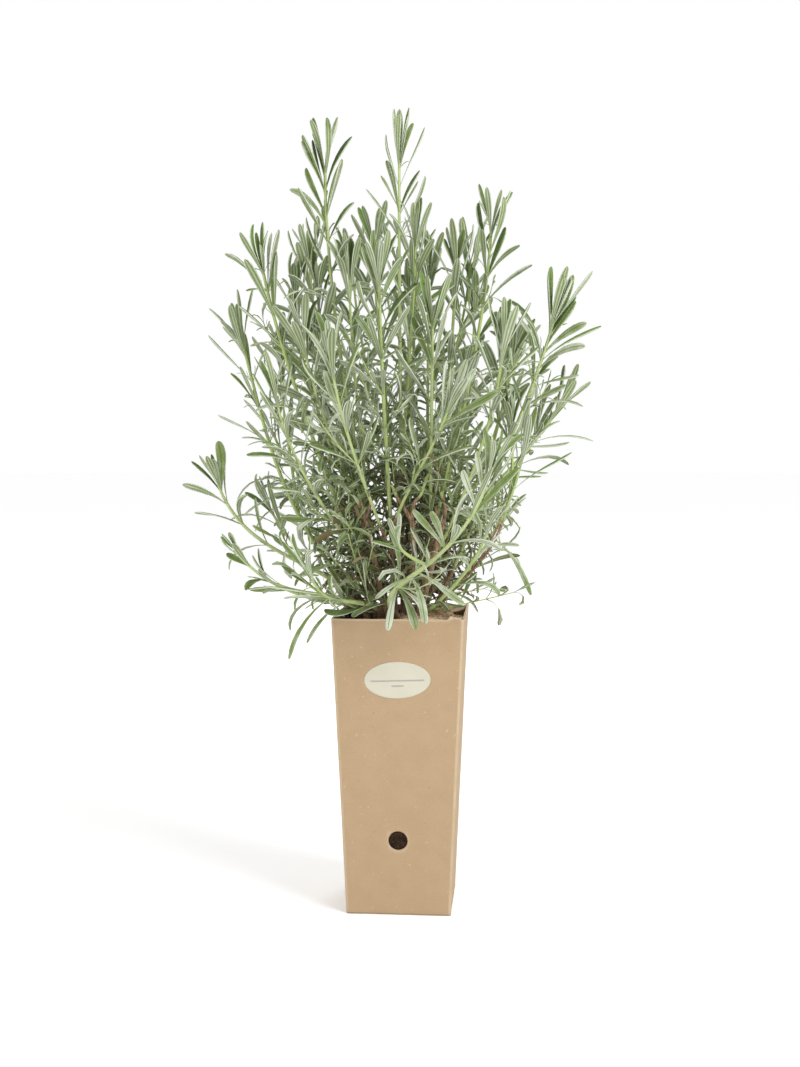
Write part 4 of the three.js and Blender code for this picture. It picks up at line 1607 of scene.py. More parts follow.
SPRAYS = (
    SprayPlan("spray_left_leader", (-0.010, -0.004), (
        Shoot((-0.057, -0.020, 0.566), 0.5, 1.0, leafage=1.05, placed=(
            PlacedLeaf(0.94, 200, 12, 30, 0.045, 0.0070, -60),
            PlacedLeaf(0.87, 195, 22, 30, 0.042, 0.0054, -60),
            PlacedLeaf(0.90, 340, 8, 14, 0.038, 0.0058, 60),
            PlacedLeaf(0.985, 350, 7, 5, 0.0445, 0.0062, 40),
        )),
        Shoot((-0.038, -0.027, 0.482), 0.35, 0.95, fork=0.24),
        Shoot((-0.085, 0.014, 0.472), 0.5, 1.0, fork=0.16),
        Shoot((-0.064, -0.012, 0.474), 0.45, 0.95, fork=0.22),
        Shoot((-0.072, -0.036, 0.440), 0.4, 0.9, fork=0.18),
        Shoot((-0.076, 0.028, 0.503), 0.45, 0.95, fork=0.2, lush=0.5),
    )),
    SprayPlan("spray_centre_leader", (0.0, 0.003), (
        Shoot((-0.002, -0.005, 0.572), 0.4, 1.2, breadth=0.88, lush=0.3, placed=(
            PlacedLeaf(0.985, 200, 6, -4, 0.046, 0.0058, -40),
            PlacedLeaf(0.985, 345, 9, -5, 0.047, 0.0046, 40),
            PlacedLeaf(0.985, 90, 4, -2, 0.046, 0.0056, 5),
            PlacedLeaf(0.90, 182, 30, -12, 0.029, 0.0028, -40),
            PlacedLeaf(0.885, 358, 26, 8, 0.030, 0.0028, 40),
        )),
        Shoot((-0.025, 0.027, 0.515), 0.4, 0.95, fork=0.2, lush=0.6),
        Shoot((0.012, -0.030, 0.508), 0.3, 0.9, fork=0.3, lush=0.9),
    )),
    SprayPlan("spray_right_leader", (0.011, 0.003), (
        Shoot((0.068, -0.005, 0.521), 0.35, 0.92),
        Shoot((0.041, 0.004, 0.494), 0.3, 0.9, fork=0.2, lush=0.7),
        Shoot((0.019, 0.018, 0.490), 0.3, 0.9, fork=0.12),
    )),
    SprayPlan("spray_front_leader", (-0.004, -0.012), (
        Shoot((-0.012, -0.062, 0.478), 0.35, 0.9),
        Shoot((0.040, -0.085, 0.385), 0.2, 0.8, fork=0.26),
        Shoot((-0.045, -0.082, 0.420), 0.4, 0.9, fork=0.18),
    ), tangle=4, old_wood=(
        OldWood(
            ((0.004, -0.022, 0.220), (0.0105, -0.032, 0.252), (0.0118, -0.034, 0.273),
             (0.0100, -0.034, 0.301)),
            (((0.0029, -0.034, 0.3126), (-0.0021, -0.035, 0.3204), (-0.0055, -0.035, 0.3283)),
             ((0.0112, -0.034, 0.3146), (0.0162, -0.034, 0.3195), (0.0225, -0.034, 0.3370))),
        ),
        OldWood(
            ((-0.010, -0.022, 0.220), (-0.017, -0.030, 0.262), (-0.0219, -0.034, 0.289),
             (-0.0248, -0.034, 0.3026)),
            (((-0.0288, -0.034, 0.3144), (-0.0307, -0.034, 0.3210)),
             ((-0.0218, -0.034, 0.3125), (-0.0208, -0.034, 0.3204))),
        ),
    )),
    SprayPlan("spray_front_right", (0.012, -0.010), (
        Shoot((0.048, -0.028, 0.402), 0.25, 0.8),
        Shoot((0.026, -0.048, 0.448), 0.3, 0.9, fork=0.3),
        Shoot((0.078, -0.062, 0.430), 0.5, 0.95, fork=0.16),
    ), tangle=5, old_wood=(
        OldWood(
            ((0.014, -0.020, 0.220), (0.022, -0.030, 0.255), (0.0285, -0.034, 0.283),
             (0.0334, -0.034, 0.298)),
            (((0.0294, -0.034, 0.3068), (0.0275, -0.034, 0.3120)),
             ((0.0353, -0.034, 0.3108), (0.0314, -0.034, 0.3225))),
        ),
    )),
    SprayPlan("spray_front_arching", (-0.001, -0.026), (
        Shoot(
            (0.070, -0.095, 0.338),
            controls=((-0.025, -0.070, 0.262), (0.045, -0.097, 0.258)),
            placed=(
                PlacedLeaf(0.30, 255, 118, 62, 0.038, 0.0056, -10),
                PlacedLeaf(0.30, 318, 128, 40, 0.036, 0.0068, 35),
                PlacedLeaf(0.40, 300, 112, 70, 0.041, 0.0060, 15),
                PlacedLeaf(0.40, 192, 104, 40, 0.031, 0.0036, -60),
                PlacedLeaf(0.44, 348, 108, 48, 0.042, 0.0054, 55),
                PlacedLeaf(0.62, 195, 37, 6, 0.037, 0.0064, -60),
                PlacedLeaf(0.62, 190, 17, 4, 0.029, 0.0056, -70),
                PlacedLeaf(0.52, 200, 28, -8, 0.030, 0.0054, -60),
                PlacedLeaf(0.84, 190, 16, 10, 0.029, 0.0064, -65),
                PlacedLeaf(0.90, 200, 2, 6, 0.032, 0.0068, -70),
            ),
        ),
        Shoot((0.006, -0.102, 0.288), 0.5, 1.0, fork=0.5, breadth=0.85, lush=0.3, leafage=0.7),
    ), tangle=4, girth=1.15),
    SprayPlan("spray_left_outer", (-0.021, 0.0), (
        Shoot((-0.126, 0.0, 0.440), 0.75, 0.82, placed=(
            PlacedLeaf(0.52, 182, 58, 112, 0.047, 0.0030, -30),
            PlacedLeaf(0.48, 188, 98, 30, 0.040, 0.0028, -45),
        )),
        Shoot((-0.100, 0.027, 0.425), 0.4, 0.95, fork=0.4),
    ), tangle=4),
    SprayPlan("spray_left_upper", (-0.017, -0.013), (
        Shoot((-0.103, -0.032, 0.490), 0.36, 0.82),
        Shoot((-0.086, -0.072, 0.390), 0.5, 0.9, fork=0.2),
    )),
    SprayPlan("spray_left_arching", (-0.028, -0.008), (
        Shoot(
            (-0.141, -0.020, 0.328),
            controls=((-0.050, -0.014, 0.272), (-0.118, -0.020, 0.264)),
            placed=(
                PlacedLeaf(0.96, 20, 3, -2, 0.039, 0.0082, 60),
                PlacedLeaf(0.94, 195, 14, -6, 0.029, 0.0068, -60),
            ),
            breadth=1.12,
            lush=0.3,
            leafage=0.8,
        ),
        Shoot((-0.104, 0.006, 0.306), 0.4, 0.8, fork=0.34, lush=0.4),
    ), tangle=3),
    SprayPlan("spray_left_low", (-0.025, -0.020), (
        Shoot(
            (-0.093, -0.040, 0.253),
            controls=((-0.034, -0.025, 0.248), (-0.064, -0.036, 0.240)),
            lush=0.2,
            leafage=0.8,
        ),
        Shoot(
            (-0.124, -0.042, 0.279),
            fork=0.12,
            controls=((-0.052, -0.030, 0.240), (-0.094, -0.042, 0.240)),
            breadth=1.12,
            lush=0.3,
            leafage=0.5,
        ),
    ), tangle=2),
    SprayPlan("spray_front_low", (-0.013, -0.025), (
        Shoot(
            (-0.061, -0.074, 0.262),
            controls=((-0.020, -0.044, 0.250), (-0.052, -0.070, 0.232)),
            placed=(
                PlacedLeaf(0.5, 197, 104, 66, 0.046, 0.0034, -50),
                PlacedLeaf(0.72, 186, 124, 44, 0.057, 0.0042, -65),
            ),
            lush=0.4,
        ),
    ), tangle=3),
    SprayPlan("spray_right_outer", (0.023, 0.001), (
        Shoot((0.117, 0.0, 0.456), 0.36, 0.8, lush=1.4, leafage=1.08, placed=(
            PlacedLeaf(0.96, 330, 16, 22, 0.041, 0.0066, 50),
            PlacedLeaf(0.90, 340, 26, 28, 0.042, 0.0066, 60),
            PlacedLeaf(0.88, 5, 40, 28, 0.041, 0.0062, 65),
            PlacedLeaf(0.83, 345, 44, 30, 0.042, 0.0062, 60),
            PlacedLeaf(0.77, 0, 66, 26, 0.038, 0.0036, 50),
            PlacedLeaf(0.70, 350, 50, 30, 0.038, 0.0060, 60),
            PlacedLeaf(0.86, 200, 12, 40, 0.038, 0.0060, -60),
        )),
        Shoot((0.082, 0.030, 0.428), 0.35, 0.95, fork=0.3),
        Shoot((0.121, 0.024, 0.388), 0.4, 0.8, fork=0.42, lush=0.6),
    ), tangle=5),
    SprayPlan("spray_right_low", (0.026, -0.011), (
        Shoot(
            (0.084, -0.008, 0.372),
            controls=((0.044, -0.008, 0.266), (0.092, -0.008, 0.264)),
            placed=(
                PlacedLeaf(0.46, 350, 125, 50, 0.052, 0.0046, 60),
                PlacedLeaf(0.90, 356, 84, 12, 0.044, 0.0036, 40),
                PlacedLeaf(0.80, 5, 92, 22, 0.028, 0.0034, 35),
            ),
            lush=0.5,
        ),
        Shoot((0.093, -0.048, 0.356), 0.5, 0.95, fork=0.3, lush=0.4),
    ), tangle=2, woody_reach=0.085, girth=0.55),
    SprayPlan("spray_front_corner", (0.015, -0.023), (
        Shoot((0.068, -0.084, 0.298), 0.5, 0.9, breadth=0.85, lush=0.2, leafage=0.9),
    ), tangle=2),
    SprayPlan("spray_back_centre", (0.001, 0.016), (
        Shoot((0.005, 0.070, 0.514), 0.35, 0.9, lush=0.4),
        Shoot((-0.045, 0.060, 0.500), 0.4, 0.95, fork=0.22),
        Shoot((0.050, 0.062, 0.506), 0.4, 0.95, fork=0.3),
        Shoot((0.002, 0.036, 0.474), 0.4, 0.95, fork=0.25, lush=0.8),
    )),
    SprayPlan("spray_back_left", (-0.014, 0.013), (
        Shoot((-0.080, 0.075, 0.440), 0.35, 0.9),
        Shoot((-0.060, 0.115, 0.390), 0.4, 0.95, fork=0.2),
        Shoot((-0.112, 0.062, 0.368), 0.4, 0.9, fork=0.26),
    )),
    SprayPlan("spray_back_right", (0.016, 0.013), (
        Shoot((0.085, 0.080, 0.430), 0.35, 0.9),
        Shoot((0.044, 0.122, 0.384), 0.4, 0.95, fork=0.2),
        Shoot((0.104, 0.060, 0.372), 0.4, 0.9, fork=0.26),
        Shoot((0.054, 0.048, 0.470), 0.4, 0.95, fork=0.3, lush=0.8),
    ), tangle=4),
    SprayPlan("spray_back_low", (0.001, 0.028), (
        Shoot((0.008, 0.140, 0.330), 0.5, 0.9),
    ), tangle=4),
    SprayPlan("spray_back_low_left", (-0.018, 0.025), (
        Shoot((-0.092, 0.098, 0.300), 0.5, 0.85),
    ), tangle=3),
    SprayPlan("spray_back_low_right", (0.020, 0.025), (
        Shoot((0.074, 0.096, 0.296), 0.5, 0.85),
    ), tangle=2),
)


@dataclass(frozen=True)
class GrowthRule:
    """How shoots and leaf pairs grow. Pairs are counted from a shoot's tip down."""

    foot_bottom: float = 0.202
    foot_top: float = 0.226
    base_radius: float = 0.0023
    tip_radius: float = 0.00105
    fork_share: float = 0.85
    low_control: float = 0.33
    high_control: float = 0.7
    gaps: tuple[float, ...] = (0.001, 0.006, 0.011, 0.017, 0.022, 0.025, 0.027)
    lengths: tuple[float, ...] = (0.034, 0.042, 0.047, 0.049, 0.048, 0.046, 0.043, 0.039, 0.035)
    angles: tuple[float, ...] = (13, 17, 20, 25, 31, 37, 43, 48, 53)
    widths: tuple[float, ...] = (0.0046, 0.0054, 0.006, 0.0062, 0.006, 0.0056, 0.005, 0.0045, 0.004)
    lowest: float = 0.014
    gap_spread: float = 0.3
    length_spread: float = 0.24
    width_spread: float = 0.2
    angle_spread: float = 12.0
    turn_spread: float = 0.3
    sway_spread: float = 0.24
    curl_top: Pair = (-14.0, 8.0)
    curl_low: Pair = (6.0, 64.0)
    curl_settles: int = 7


def pick(values: tuple[float, ...], index: int) -> float:
    """The value at a place in a row, or its last one."""
    return values[min(index, len(values) - 1)]


class Draws:
    """A repeatable row of numbers between 0 and 1."""

    FACTOR = 1664525
    STEP = 1013904223
    RANGE = 4294967296

    def __init__(self, seed: int) -> None:
        """Starts the row."""
        self.state = seed

    def next(self) -> float:
        """The next number."""
        self.state = (self.state * self.FACTOR + self.STEP) % self.RANGE
        return self.state / self.RANGE

    def spread(self, width: float) -> float:
        """The next number, scaled to a width and centred on 0."""
        return width * (self.next() - 0.5)


class CentreLine:
    """A shoot's smooth centre line, read by a share of its length."""

    STEPS = 200
    REACH = 0.004

    def __init__(self, corners: np.ndarray) -> None:
        """Measures the Bezier curve of four corners."""
        share = np.linspace(0, 1, self.STEPS + 1)[:, None]
        rest = 1 - share
        self.points = (rest ** 3 * corners[0] + 3 * rest ** 2 * share * corners[1]
                       + 3 * rest * share ** 2 * corners[2] + share ** 3 * corners[3])
        steps = np.linalg.norm(np.diff(self.points, axis=0), axis=1)
        self.reached = np.concatenate([[0], np.cumsum(steps)])
        self.length = float(self.reached[-1])

    def point(self, share: float) -> np.ndarray:
        """The point at a share of the length."""
        reach = share * self.length
        return np.array([np.interp(reach, self.reached, self.points[:, i]) for i in range(3)])

    def tangent(self, share: float) -> np.ndarray:
        """The direction there."""
        return unit(self.point(min(1, share + self.REACH)) - self.point(max(0, share - self.REACH)))


@dataclass
class Stem:
    """A grown shoot: its centre line, its frame's cross direction and its radius at the start."""

    plan: Shoot
    line: CentreLine
    across: np.ndarray
    radius: float

    def frame_at(self, share: float) -> tuple[np.ndarray, np.ndarray, np.ndarray, np.ndarray]:
        """A point of the stem and its frame.

        Args:
            share: The share of its length.

        Returns:
            The point, the direction along the stem and two directions across it.
        """
        along = self.line.tangent(share)
        first = unit(self.across - along * float(self.across @ along))
        return self.line.point(share), along, first, np.cross(along, first)


def swung(first: np.ndarray, second: np.ndarray, angle: float) -> np.ndarray:
    """The direction at an angle from the first towards the second."""
    return first * math.cos(angle) + second * math.sin(angle)


LINE_STEPS = 40
OUTLINE_ALONG = (0.0, 0.08, 0.2, 0.36, 0.52, 0.68, 0.80, 0.90, 0.96, 1.0)
OUTLINE_HALF = (0.28, 0.27, 0.34, 0.54, 0.81, 0.98, 1.0, 0.86, 0.60, 0.25)
TOOTH_DEPTH = 0.09
TOOTHED = Fade(0.3, 0.5)
LEAST_HALF = 0.6 * MM
TIP_ACROSS = 0.9
RUMPLE = Lumps(0.16 * MM, 5 * MM, 71)


class BladeShape(Enum):
    """The forms that a leaf is made in: full, slim for small leaves, and toothed."""

    FULL = "full"
    SLIM = "slim"
    TOOTHED = "toothed"

    def stations(self) -> np.ndarray:
        """Where the leaf's rings lie, in steps of its midrib."""
        if self is BladeShape.TOOTHED:
            return np.arange(LINE_STEPS)
        if self is BladeShape.SLIM:
            return np.array([0, 9, 20, 31, 38])
        return np.array([0, 4, 10, 17, 24, 30, 35, 38, 39])

    def ring(self) -> np.ndarray:
        """The section's outline for a half width of one, with each vertex's side.

        Returns:
            One row each of place across, height, and 1 for the under side.
        """
        if self is BladeShape.SLIM:
            return np.array([
                (1.0, -0.20, 0), (0.5, 0.12, 0), (0.0, -0.06, 0),
                (-0.5, 0.12, 0), (-1.0, -0.20, 0), (0.0, -0.42, 1),
            ])
        return np.array([
            (0.98, -0.20, 0), (0.54, 0.16, 0), (0.0, -0.09, 0), (-0.54, 0.16, 0), (-0.98, -0.20, 0),
            (-0.86, -0.42, 1), (-0.46, -0.10, 1), (0.0, -0.32, 1), (0.46, -0.10, 1), (0.86, -0.42, 1),
        ])


@dataclass(frozen=True)
class Blade:
    """One leaf. It leaves its stem at an angle, bends in the plane of along and out, and twists."""

    at: np.ndarray
    along: np.ndarray
    out: np.ndarray
    length: float
    width: float
    angle: float
    curl: float
    flick: float = 0.0
    sway: float = 0.0
    twist: float = 0.0
    roll: float = 0.0
    tone: float = 0.5
    fresh: float = 0.0
    dry: float = 0.0
    shape: BladeShape = BladeShape.FULL


def column(blades: list[Blade], name: str) -> np.ndarray:
    """One value of each leaf, ready to spread over its rings."""
    return np.array([getattr(blade, name) for blade in blades])[:, None]


def midribs(blades: list[Blade]) -> tuple[np.ndarray, np.ndarray]:
    """The midribs of many leaves.

    Args:
        blades: The leaves.

    Returns:
        Points by leaf and step, and how far each has turned from its stem there.
    """
    shares = np.linspace(0, 1, LINE_STEPS + 1)
    middles = (shares[1:] + shares[:-1]) / 2
    angle, curl, flick = (column(blades, name) for name in ("angle", "curl", "flick"))
    along, out = column(blades, "along"), column(blades, "out")

    def turning(where: np.ndarray) -> np.ndarray:
        """How far each leaf has turned at the given shares."""
        return angle + curl * where + flick * where ** 3

    theta = turning(middles)[..., None]
    run = np.cumsum(np.cos(theta) * along + np.sin(theta) * out, axis=1) / LINE_STEPS
    run = np.concatenate([np.zeros((len(blades), 1, 3)), run], axis=1)
    run = run + (column(blades, "sway") * shares ** 2)[..., None] * np.cross(along, out)
    return column(blades, "at") + column(blades, "length")[..., None] * run, turning(shares)


def blade_block(blades: list[Blade], shape: BladeShape,
                ) -> tuple[np.ndarray, list[np.ndarray], dict[str, np.ndarray]]:
    """The vertices, faces and marks of many leaves of one form.

    Args:
        blades: The leaves.
        shape: The form that they are made in.

    Returns:
        Vertices, faces and marks.
    """
    steps, ring = shape.stations(), shape.ring()
    count, rows, columns = len(blades), len(steps), len(ring)
    shares = steps / LINE_STEPS
    lines, theta = midribs(blades)
    centre, theta = lines[:, steps], theta[:, steps, None]
    along, out = column(blades, "along"), column(blades, "out")
    upper = np.sin(theta) * along - np.cos(theta) * out
    side = np.broadcast_to(np.cross(along, out), upper.shape)
    turn = (column(blades, "roll") + column(blades, "twist") * shares)[..., None]
    across = side * np.cos(turn) + upper * np.sin(turn)
    above = upper * np.cos(turn) - side * np.sin(turn)
    half = column(blades, "width") / 2 * np.interp(shares, OUTLINE_ALONG, OUTLINE_HALF)
    if shape is BladeShape.TOOTHED:
        teeth = (steps % 2 * 2 - 1) * TOOTHED.at(shares)
        half = half * (1 + TOOTH_DEPTH * teeth)
    reach = (half[..., None] * ring[:, 0])[..., None]
    thick = (np.maximum(half, LEAST_HALF)[..., None] * ring[:, 1])[..., None]
    rings = centre[:, :, None] + across[:, :, None] * reach + above[:, :, None] * thick
    waves = RUMPLE.at(rings.reshape(-1, 3)).reshape(count, rows, columns, 1)
    rings = rings + above[:, :, None] * waves
    tips, roots = lines[:, -1:], lines[:, :1]
    points = np.concatenate([rings.reshape(count, rows * columns, 3), tips, roots], axis=1)
    each = rows * columns + 2
    starts = (np.arange(count) * each)[:, None, None]
    faces = [(block[None] + starts).reshape(-1, block.shape[1]) for block in (
        grid_faces(rows, columns, True),
        fan_faces((rows - 1) * columns, columns, rows * columns, True),
        fan_faces(0, columns, rows * columns + 1, False),
    )]

    def spread(ring_values: np.ndarray, tip: float, root: float) -> np.ndarray:
        """A mark for every vertex of every leaf, from one leaf's rings."""
        return np.tile(np.concatenate([ring_values.ravel(), [tip, root]]), count)

    marks = {
        "across": spread(np.tile(ring[:, 0], (rows, 1)), TIP_ACROSS, 0.0),
        "under": spread(np.tile(ring[:, 2], (rows, 1)), 0.5, 0.5),
        "along": spread(np.repeat(shares[:, None], columns, axis=1), 1.0, 0.0),
    }
    for mark in ("tone", "fresh", "dry"):
        marks[mark] = np.repeat([getattr(blade, mark) for blade in blades], each)
    return points.reshape(-1, 3), faces, marks


@dataclass(frozen=True)
class TwigHabit:
    """How one kind of side shoot grows. Pairs of numbers are the least and the most.

    Attributes:
        length: How long it is.
        leaf: How long its leaves are.
        slimness: Their width as a share of their length.
        spacing: The distance between leaf pairs.
        lean: How far it leans from its stem at first, in degrees.
        lift: How strongly it turns upward.
        curl: How much its leaves bend, in degrees.
        twist: How unevenly they twist.
        radius: Its radius at the start.
        chances: How often a leaf's axil carries one, by leaf pair from the shoot's tip.
        loss: How much rarer it is where the shoot is bare.
        barest: The bareness past which it gets no rarer.
        least_size: Its size near the shoot's tip, as a share of its full size.
        gap_loss: How often one is missing in the gap low in the front.
        drift: How unevenly it grows.
        taper: Its radius at the end, as a share of the first one.
        sides: How many sides its stem has.
        least_steps: How many steps its stem has at least.
        turn: How unevenly its leaves stand around it.
        leaf_spread: The lengths of its leaves, as shares of the usual one.
        last_leaf: The length of its last leaves, as a share of the others'.
        last_angle: The angle between its last leaves and its stem, in degrees.
        angle: The same angle for the other leaves.
        flick: The mean and the spread of the bend of the leaves' tips.
        sway: How much they swing sideways.
        roll: How much they are turned about their midribs.
    """

    length: Pair
    leaf: Pair
    slimness: Pair
    spacing: float
    lean: Pair
    lift: float
    curl: Pair
    twist: float
    radius: float
    chances: tuple[float, ...] = (0.0,)
    loss: float = 0.0
    barest: float = 1.0
    least_size: float = 1.0
    gap_loss: float = 0.7
    drift: float = 0.3
    taper: float = 0.55
    sides: int = 5
    least_steps: int = 4
    turn: float = 0.25
    leaf_spread: Pair = (0.75, 1.15)
    last_leaf: float = 0.8
    last_angle: Pair = (8, 26)
    angle: Pair = (25, 60)
    flick: Pair = (0.4, 0.9)
    sway: float = 0.18
    roll: float = 0.4


TUFT = TwigHabit(
    (0.002, 0.010), (0.013, 0.027), (0.12, 0.17), 0.005, (15, 38), 0.3, (-15, 60), 0.5, 0.00045,
    chances=(0.0, 0.3, 0.65, 0.8, 0.85, 0.9), loss=0.6, barest=1.6, least_size=0.7)
LATERAL = TwigHabit(
    (0.018, 0.052), (0.018, 0.032), (0.12, 0.165), 0.0105, (28, 55), 0.8, (-20, 85), 0.7, 0.0007,
    chances=(0.0, 0.0, 0.04, 0.14, 0.26, 0.36, 0.42, 0.45), loss=0.85, least_size=0.55)
THICKET = TwigHabit(
    (0.022, 0.070), (0.015, 0.031), (0.12, 0.17), 0.0105, (30, 85), 0.9, (15, 150), 1.0, 0.0007)


@dataclass(frozen=True)
class WhorlHabit:
    """How the second leaves beside main ones differ from them.

    Attributes:
        chances: How often there is one, by leaf pair from the shoot's tip.
        loss: How much rarer it is where the shoot is bare.
        turn: How far around the shoot it stands, in radians.
        length: Its length, as shares of the main leaf's.
        width: Its width, as shares.
        angle: Its angle, as shares.
        curl: How much its bend differs.
        twist: How much it twists.
        tone: How much its tone differs.
    """

    chances: tuple[float, ...] = (0.8, 0.6, 0.5, 0.5, 0.5, 0.5, 0.45, 0.4)
    loss: float = 0.5
    turn: Pair = (0.5, 1.4)
    length: Pair = (0.6, 0.98)
    width: Pair = (0.65, 0.95)
    angle: Pair = (0.45, 1.1)
    curl: float = 0.25
    twist: float = 0.5
    tone: float = 0.15


@dataclass(frozen=True)
class Zones:
    """The parts of the plant that grow or look their own way, each from 0 outside to 1 inside."""

    core_level: Fade = Fade(0.360, 0.305)
    core_reach: Fade = Fade(0.070, 0.036)
    front_level: Fade = Fade(0.43, 0.37)
    front_reach: Fade = Fade(0.035, 0.080)
    crown_level: Fade = Fade(0.43, 0.50)
    loose_level: Fade = Fade(0.36, 0.28)
    bare_left: tuple[Fade, Fade] = (Fade(0.064, 0.088), Fade(0.425, 0.385))
    bare_right: tuple[Fade, Fade] = (Fade(0.046, 0.064), Fade(0.375, 0.345))
    over_rim: tuple[Fade, Fade] = (Fade(0.034, 0.052), Fade(0.285, 0.262))
    rim_weight: float = 1.6
    gap_middle: Pair = (0.004, 0.296)
    gap_half: tuple[Fade, Fade] = (Fade(0.046, 0.034), Fade(0.045, 0.032))
    gap_reach: Fade = Fade(0.022, 0.034)
    bark_level: Fade = Fade(0.335, 0.280)
    bark_reach: Fade = Fade(10 * MM, -10 * MM)
    stump_bark: Fade = Fade(0.328, 0.312)

    def core(self, point: np.ndarray) -> float:
        """How deep a point lies in the shaded middle, low down."""
        return self.core_level.of(point[2]) * self.core_reach.of(math.hypot(point[0], point[1]))

    def front(self, point: np.ndarray) -> float:
        """How far out a point lies in the front, low down."""
        return self.front_reach.of(-point[1]) * self.front_level.of(point[2])

    def bareness(self, point: np.ndarray) -> float:
        """How bare a stem is at a point: the outer shoots on both sides carry little low down."""
        parts = ((self.bare_left, -point[0], 1.0), (self.bare_right, point[0], 1.0),
                 (self.over_rim, abs(point[0]), self.rim_weight))
        return max(weight * reach.of(x) * level.of(point[2]) for (reach, level), x, weight in parts)

    def opening(self, point: np.ndarray) -> float:
        """How far a point lies in the gap low in the front, through which old wood shows."""
        beside = self.gap_half[0].of(abs(point[0] - self.gap_middle[0]))
        level = self.gap_half[1].of(abs(point[2] - self.gap_middle[1]))
        return beside * level * self.gap_reach.of(-point[1])

    def bark_at(self, points: np.ndarray, reach: float) -> np.ndarray:
        """How woody the stems are at the points: near the soil, out to about the reach."""
        beyond = np.hypot(points[:, 0], points[:, 1]) - reach
        return self.bark_level.at(points[:, 2]) * self.bark_reach.at(beyond)


@dataclass(frozen=True)
class LeafTones:
    """How leaves differ in colour. Pairs of numbers are the least and the most.

    Attributes:
        tone: The usual tones.
        by_age: What age adds to the tone.
        by_size: What a small leaf's tone has more.
        by_front_light: What the front's low leaves have more, as painted light where the front is lit.
        by_core: What the shaded middle's leaves have less, as painted shade.
        by_crown_shade: What the crown's leaves have less, as painted shade that offsets the back
            light.
        fresh_chance: How often a young leaf is fresh green.
        fresh: How fresh it is.
        usual_fresh: The mean and the spread of the other leaves' freshness.
        dry_chance: How often a small leaf is dry.
        core_dry_and_shade_chance: How much more often it is in the shaded middle, where its brown is
            partly painted shade.
        dry: How dry it is.
        core_dry_and_shade: How brown the middle's other leaves are at most, partly dry and partly
            painted shade.
    """

    tone: Pair = (0.02, 0.84)
    by_age: float = 0.35
    by_size: float = 0.22
    by_front_light: float = 0.35
    by_core: float = 1.1
    by_crown_shade: float = 0.14
    fresh_chance: float = 0.12
    fresh: Pair = (0.4, 0.9)
    usual_fresh: Pair = (0.06, 0.1)
    dry_chance: float = 0.005
    core_dry_and_shade_chance: float = 0.26
    dry: Pair = (0.4, 0.95)
    core_dry_and_shade: float = 0.36


@dataclass(frozen=True)
class LeafHabit:
    """How the leaves of a shoot differ. A pair is the usual amount and what looseness adds.

    Attributes:
        old: At which leaf pair from the tip leaves turn old.
        grown: At which leaf pair side shoots have their full size.
        breadth: The width of the leaves, scaled.
        slimmer: How much slimmer old and lone leaves are.
        toothed_breadth: From which breadth on a shoot's leaves are toothed.
        toothed_pairs: How many of its leaf pairs are.
        full_pairs: How many leaf pairs stay complete where a shoot is bare.
        loss: How often a leaf is missing below them.
        droop: How much more the leaves bend where a shoot is bare.
        flick: The mean bend of their tips.
        flick_spread: How much that differs.
        sway_spread: How much they swing sideways.
        twist_spread: How much they twist.
        roll_spread: How much they are turned about their midribs.
        placed_spread: How much the flick and the twist of listed leaves differ.
        placed_tone: Their least and greatest tone.
    """

    old: Fade = Fade(3, 9)
    grown: Fade = Fade(1, 7)
    breadth: float = 1.05
    slimmer: float = 0.28
    toothed_breadth: float = 1.1
    toothed_pairs: int = 3
    full_pairs: int = 4
    loss: float = 0.55
    droop: float = 0.8
    flick: Pair = (0.15, 0.2)
    flick_spread: Pair = (0.3, 0.6)
    sway_spread: Pair = (0.03, 0.11)
    twist_spread: Pair = (0.25, 0.8)
    roll_spread: float = 0.25
    placed_spread: float = 0.3
    placed_tone: Pair = (0.55, 0.95)


@dataclass(frozen=True)
class PotRoom:
    """How far leaves and stems stay clear of the pot.

    Attributes:
        soil_top: The height below which a point inside the carton lies in the soil.
        inside: How far inside the board they have to stay.
        clear: How far out of the carton they have to stay.
        leaf_clear: How far out of it a leaf that grows by rule has to stay.
        above: How far above the rim they have to stay.
        small_above: How far above it a small leaf has to stay.
        root_steps: How many steps of a leaf's midrib are left out at its root.
        tries: How often a leaf is tried, and lifted after each failure.
        lift: What each lift leaves of its angle.
        straighten: What each lift leaves of its bend.
    """

    soil_top: float = 0.2265
    inside: float = 1.6 * MM
    clear: float = 1.6 * MM
    leaf_clear: float = 14 * MM
    above: float = 0.8 * MM
    small_above: float = 7 * MM
    root_steps: int = 3
    tries: int = 3
    lift: float = 0.75
    straighten: float = 0.5


@dataclass(frozen=True)
class StemHabit:
    """How thick, how uneven and how finely divided shoots and old wood are.

    Attributes:
        knots: The unevenness of a shoot's radius.
        step: The length of a step along a shoot.
        least_steps: How many steps a shoot has at least.
        foot_steps: How many points its foot in the soil has.
        foot_girth: How much thicker the foot is.
        section: The number of sides and the squareness of a shoot.
        trunk: The radius of old wood at the soil and at its fork.
        arm: The radius of its arms at both ends.
        limb_section: The number of sides and the squareness of old wood.
        limb_steps: How many steps it has between two of its corners.
        limb_knots: The unevenness of its radius.
        limb_scales: The roughness of its bark.
        limb_tone: Its greatest tone.
        limb_twig: The size of the young shoot at an arm's end.
        tangle_zone: Where on the leader the thin shoots of the woody base start.
    """

    knots: Lumps = Lumps(0.09, 0.011, 61)
    step: float = 5 * MM
    least_steps: int = 12
    foot_steps: int = 4
    foot_girth: float = 1.12
    section: tuple[int, float] = (12, 0.2)
    trunk: Pair = (0.0023, 0.0020)
    arm: Pair = (0.0017, 0.0011)
    limb_section: tuple[int, float] = (10, 0.1)
    limb_steps: int = 6
    limb_knots: Lumps = Lumps(0.16, 0.005, 62)
    limb_scales: Lumps = Lumps(0.25 * MM, 0.0022, 63)
    limb_tone: float = 0.5
    limb_twig: float = 0.9
    tangle_zone: Pair = (0.02, 0.3)


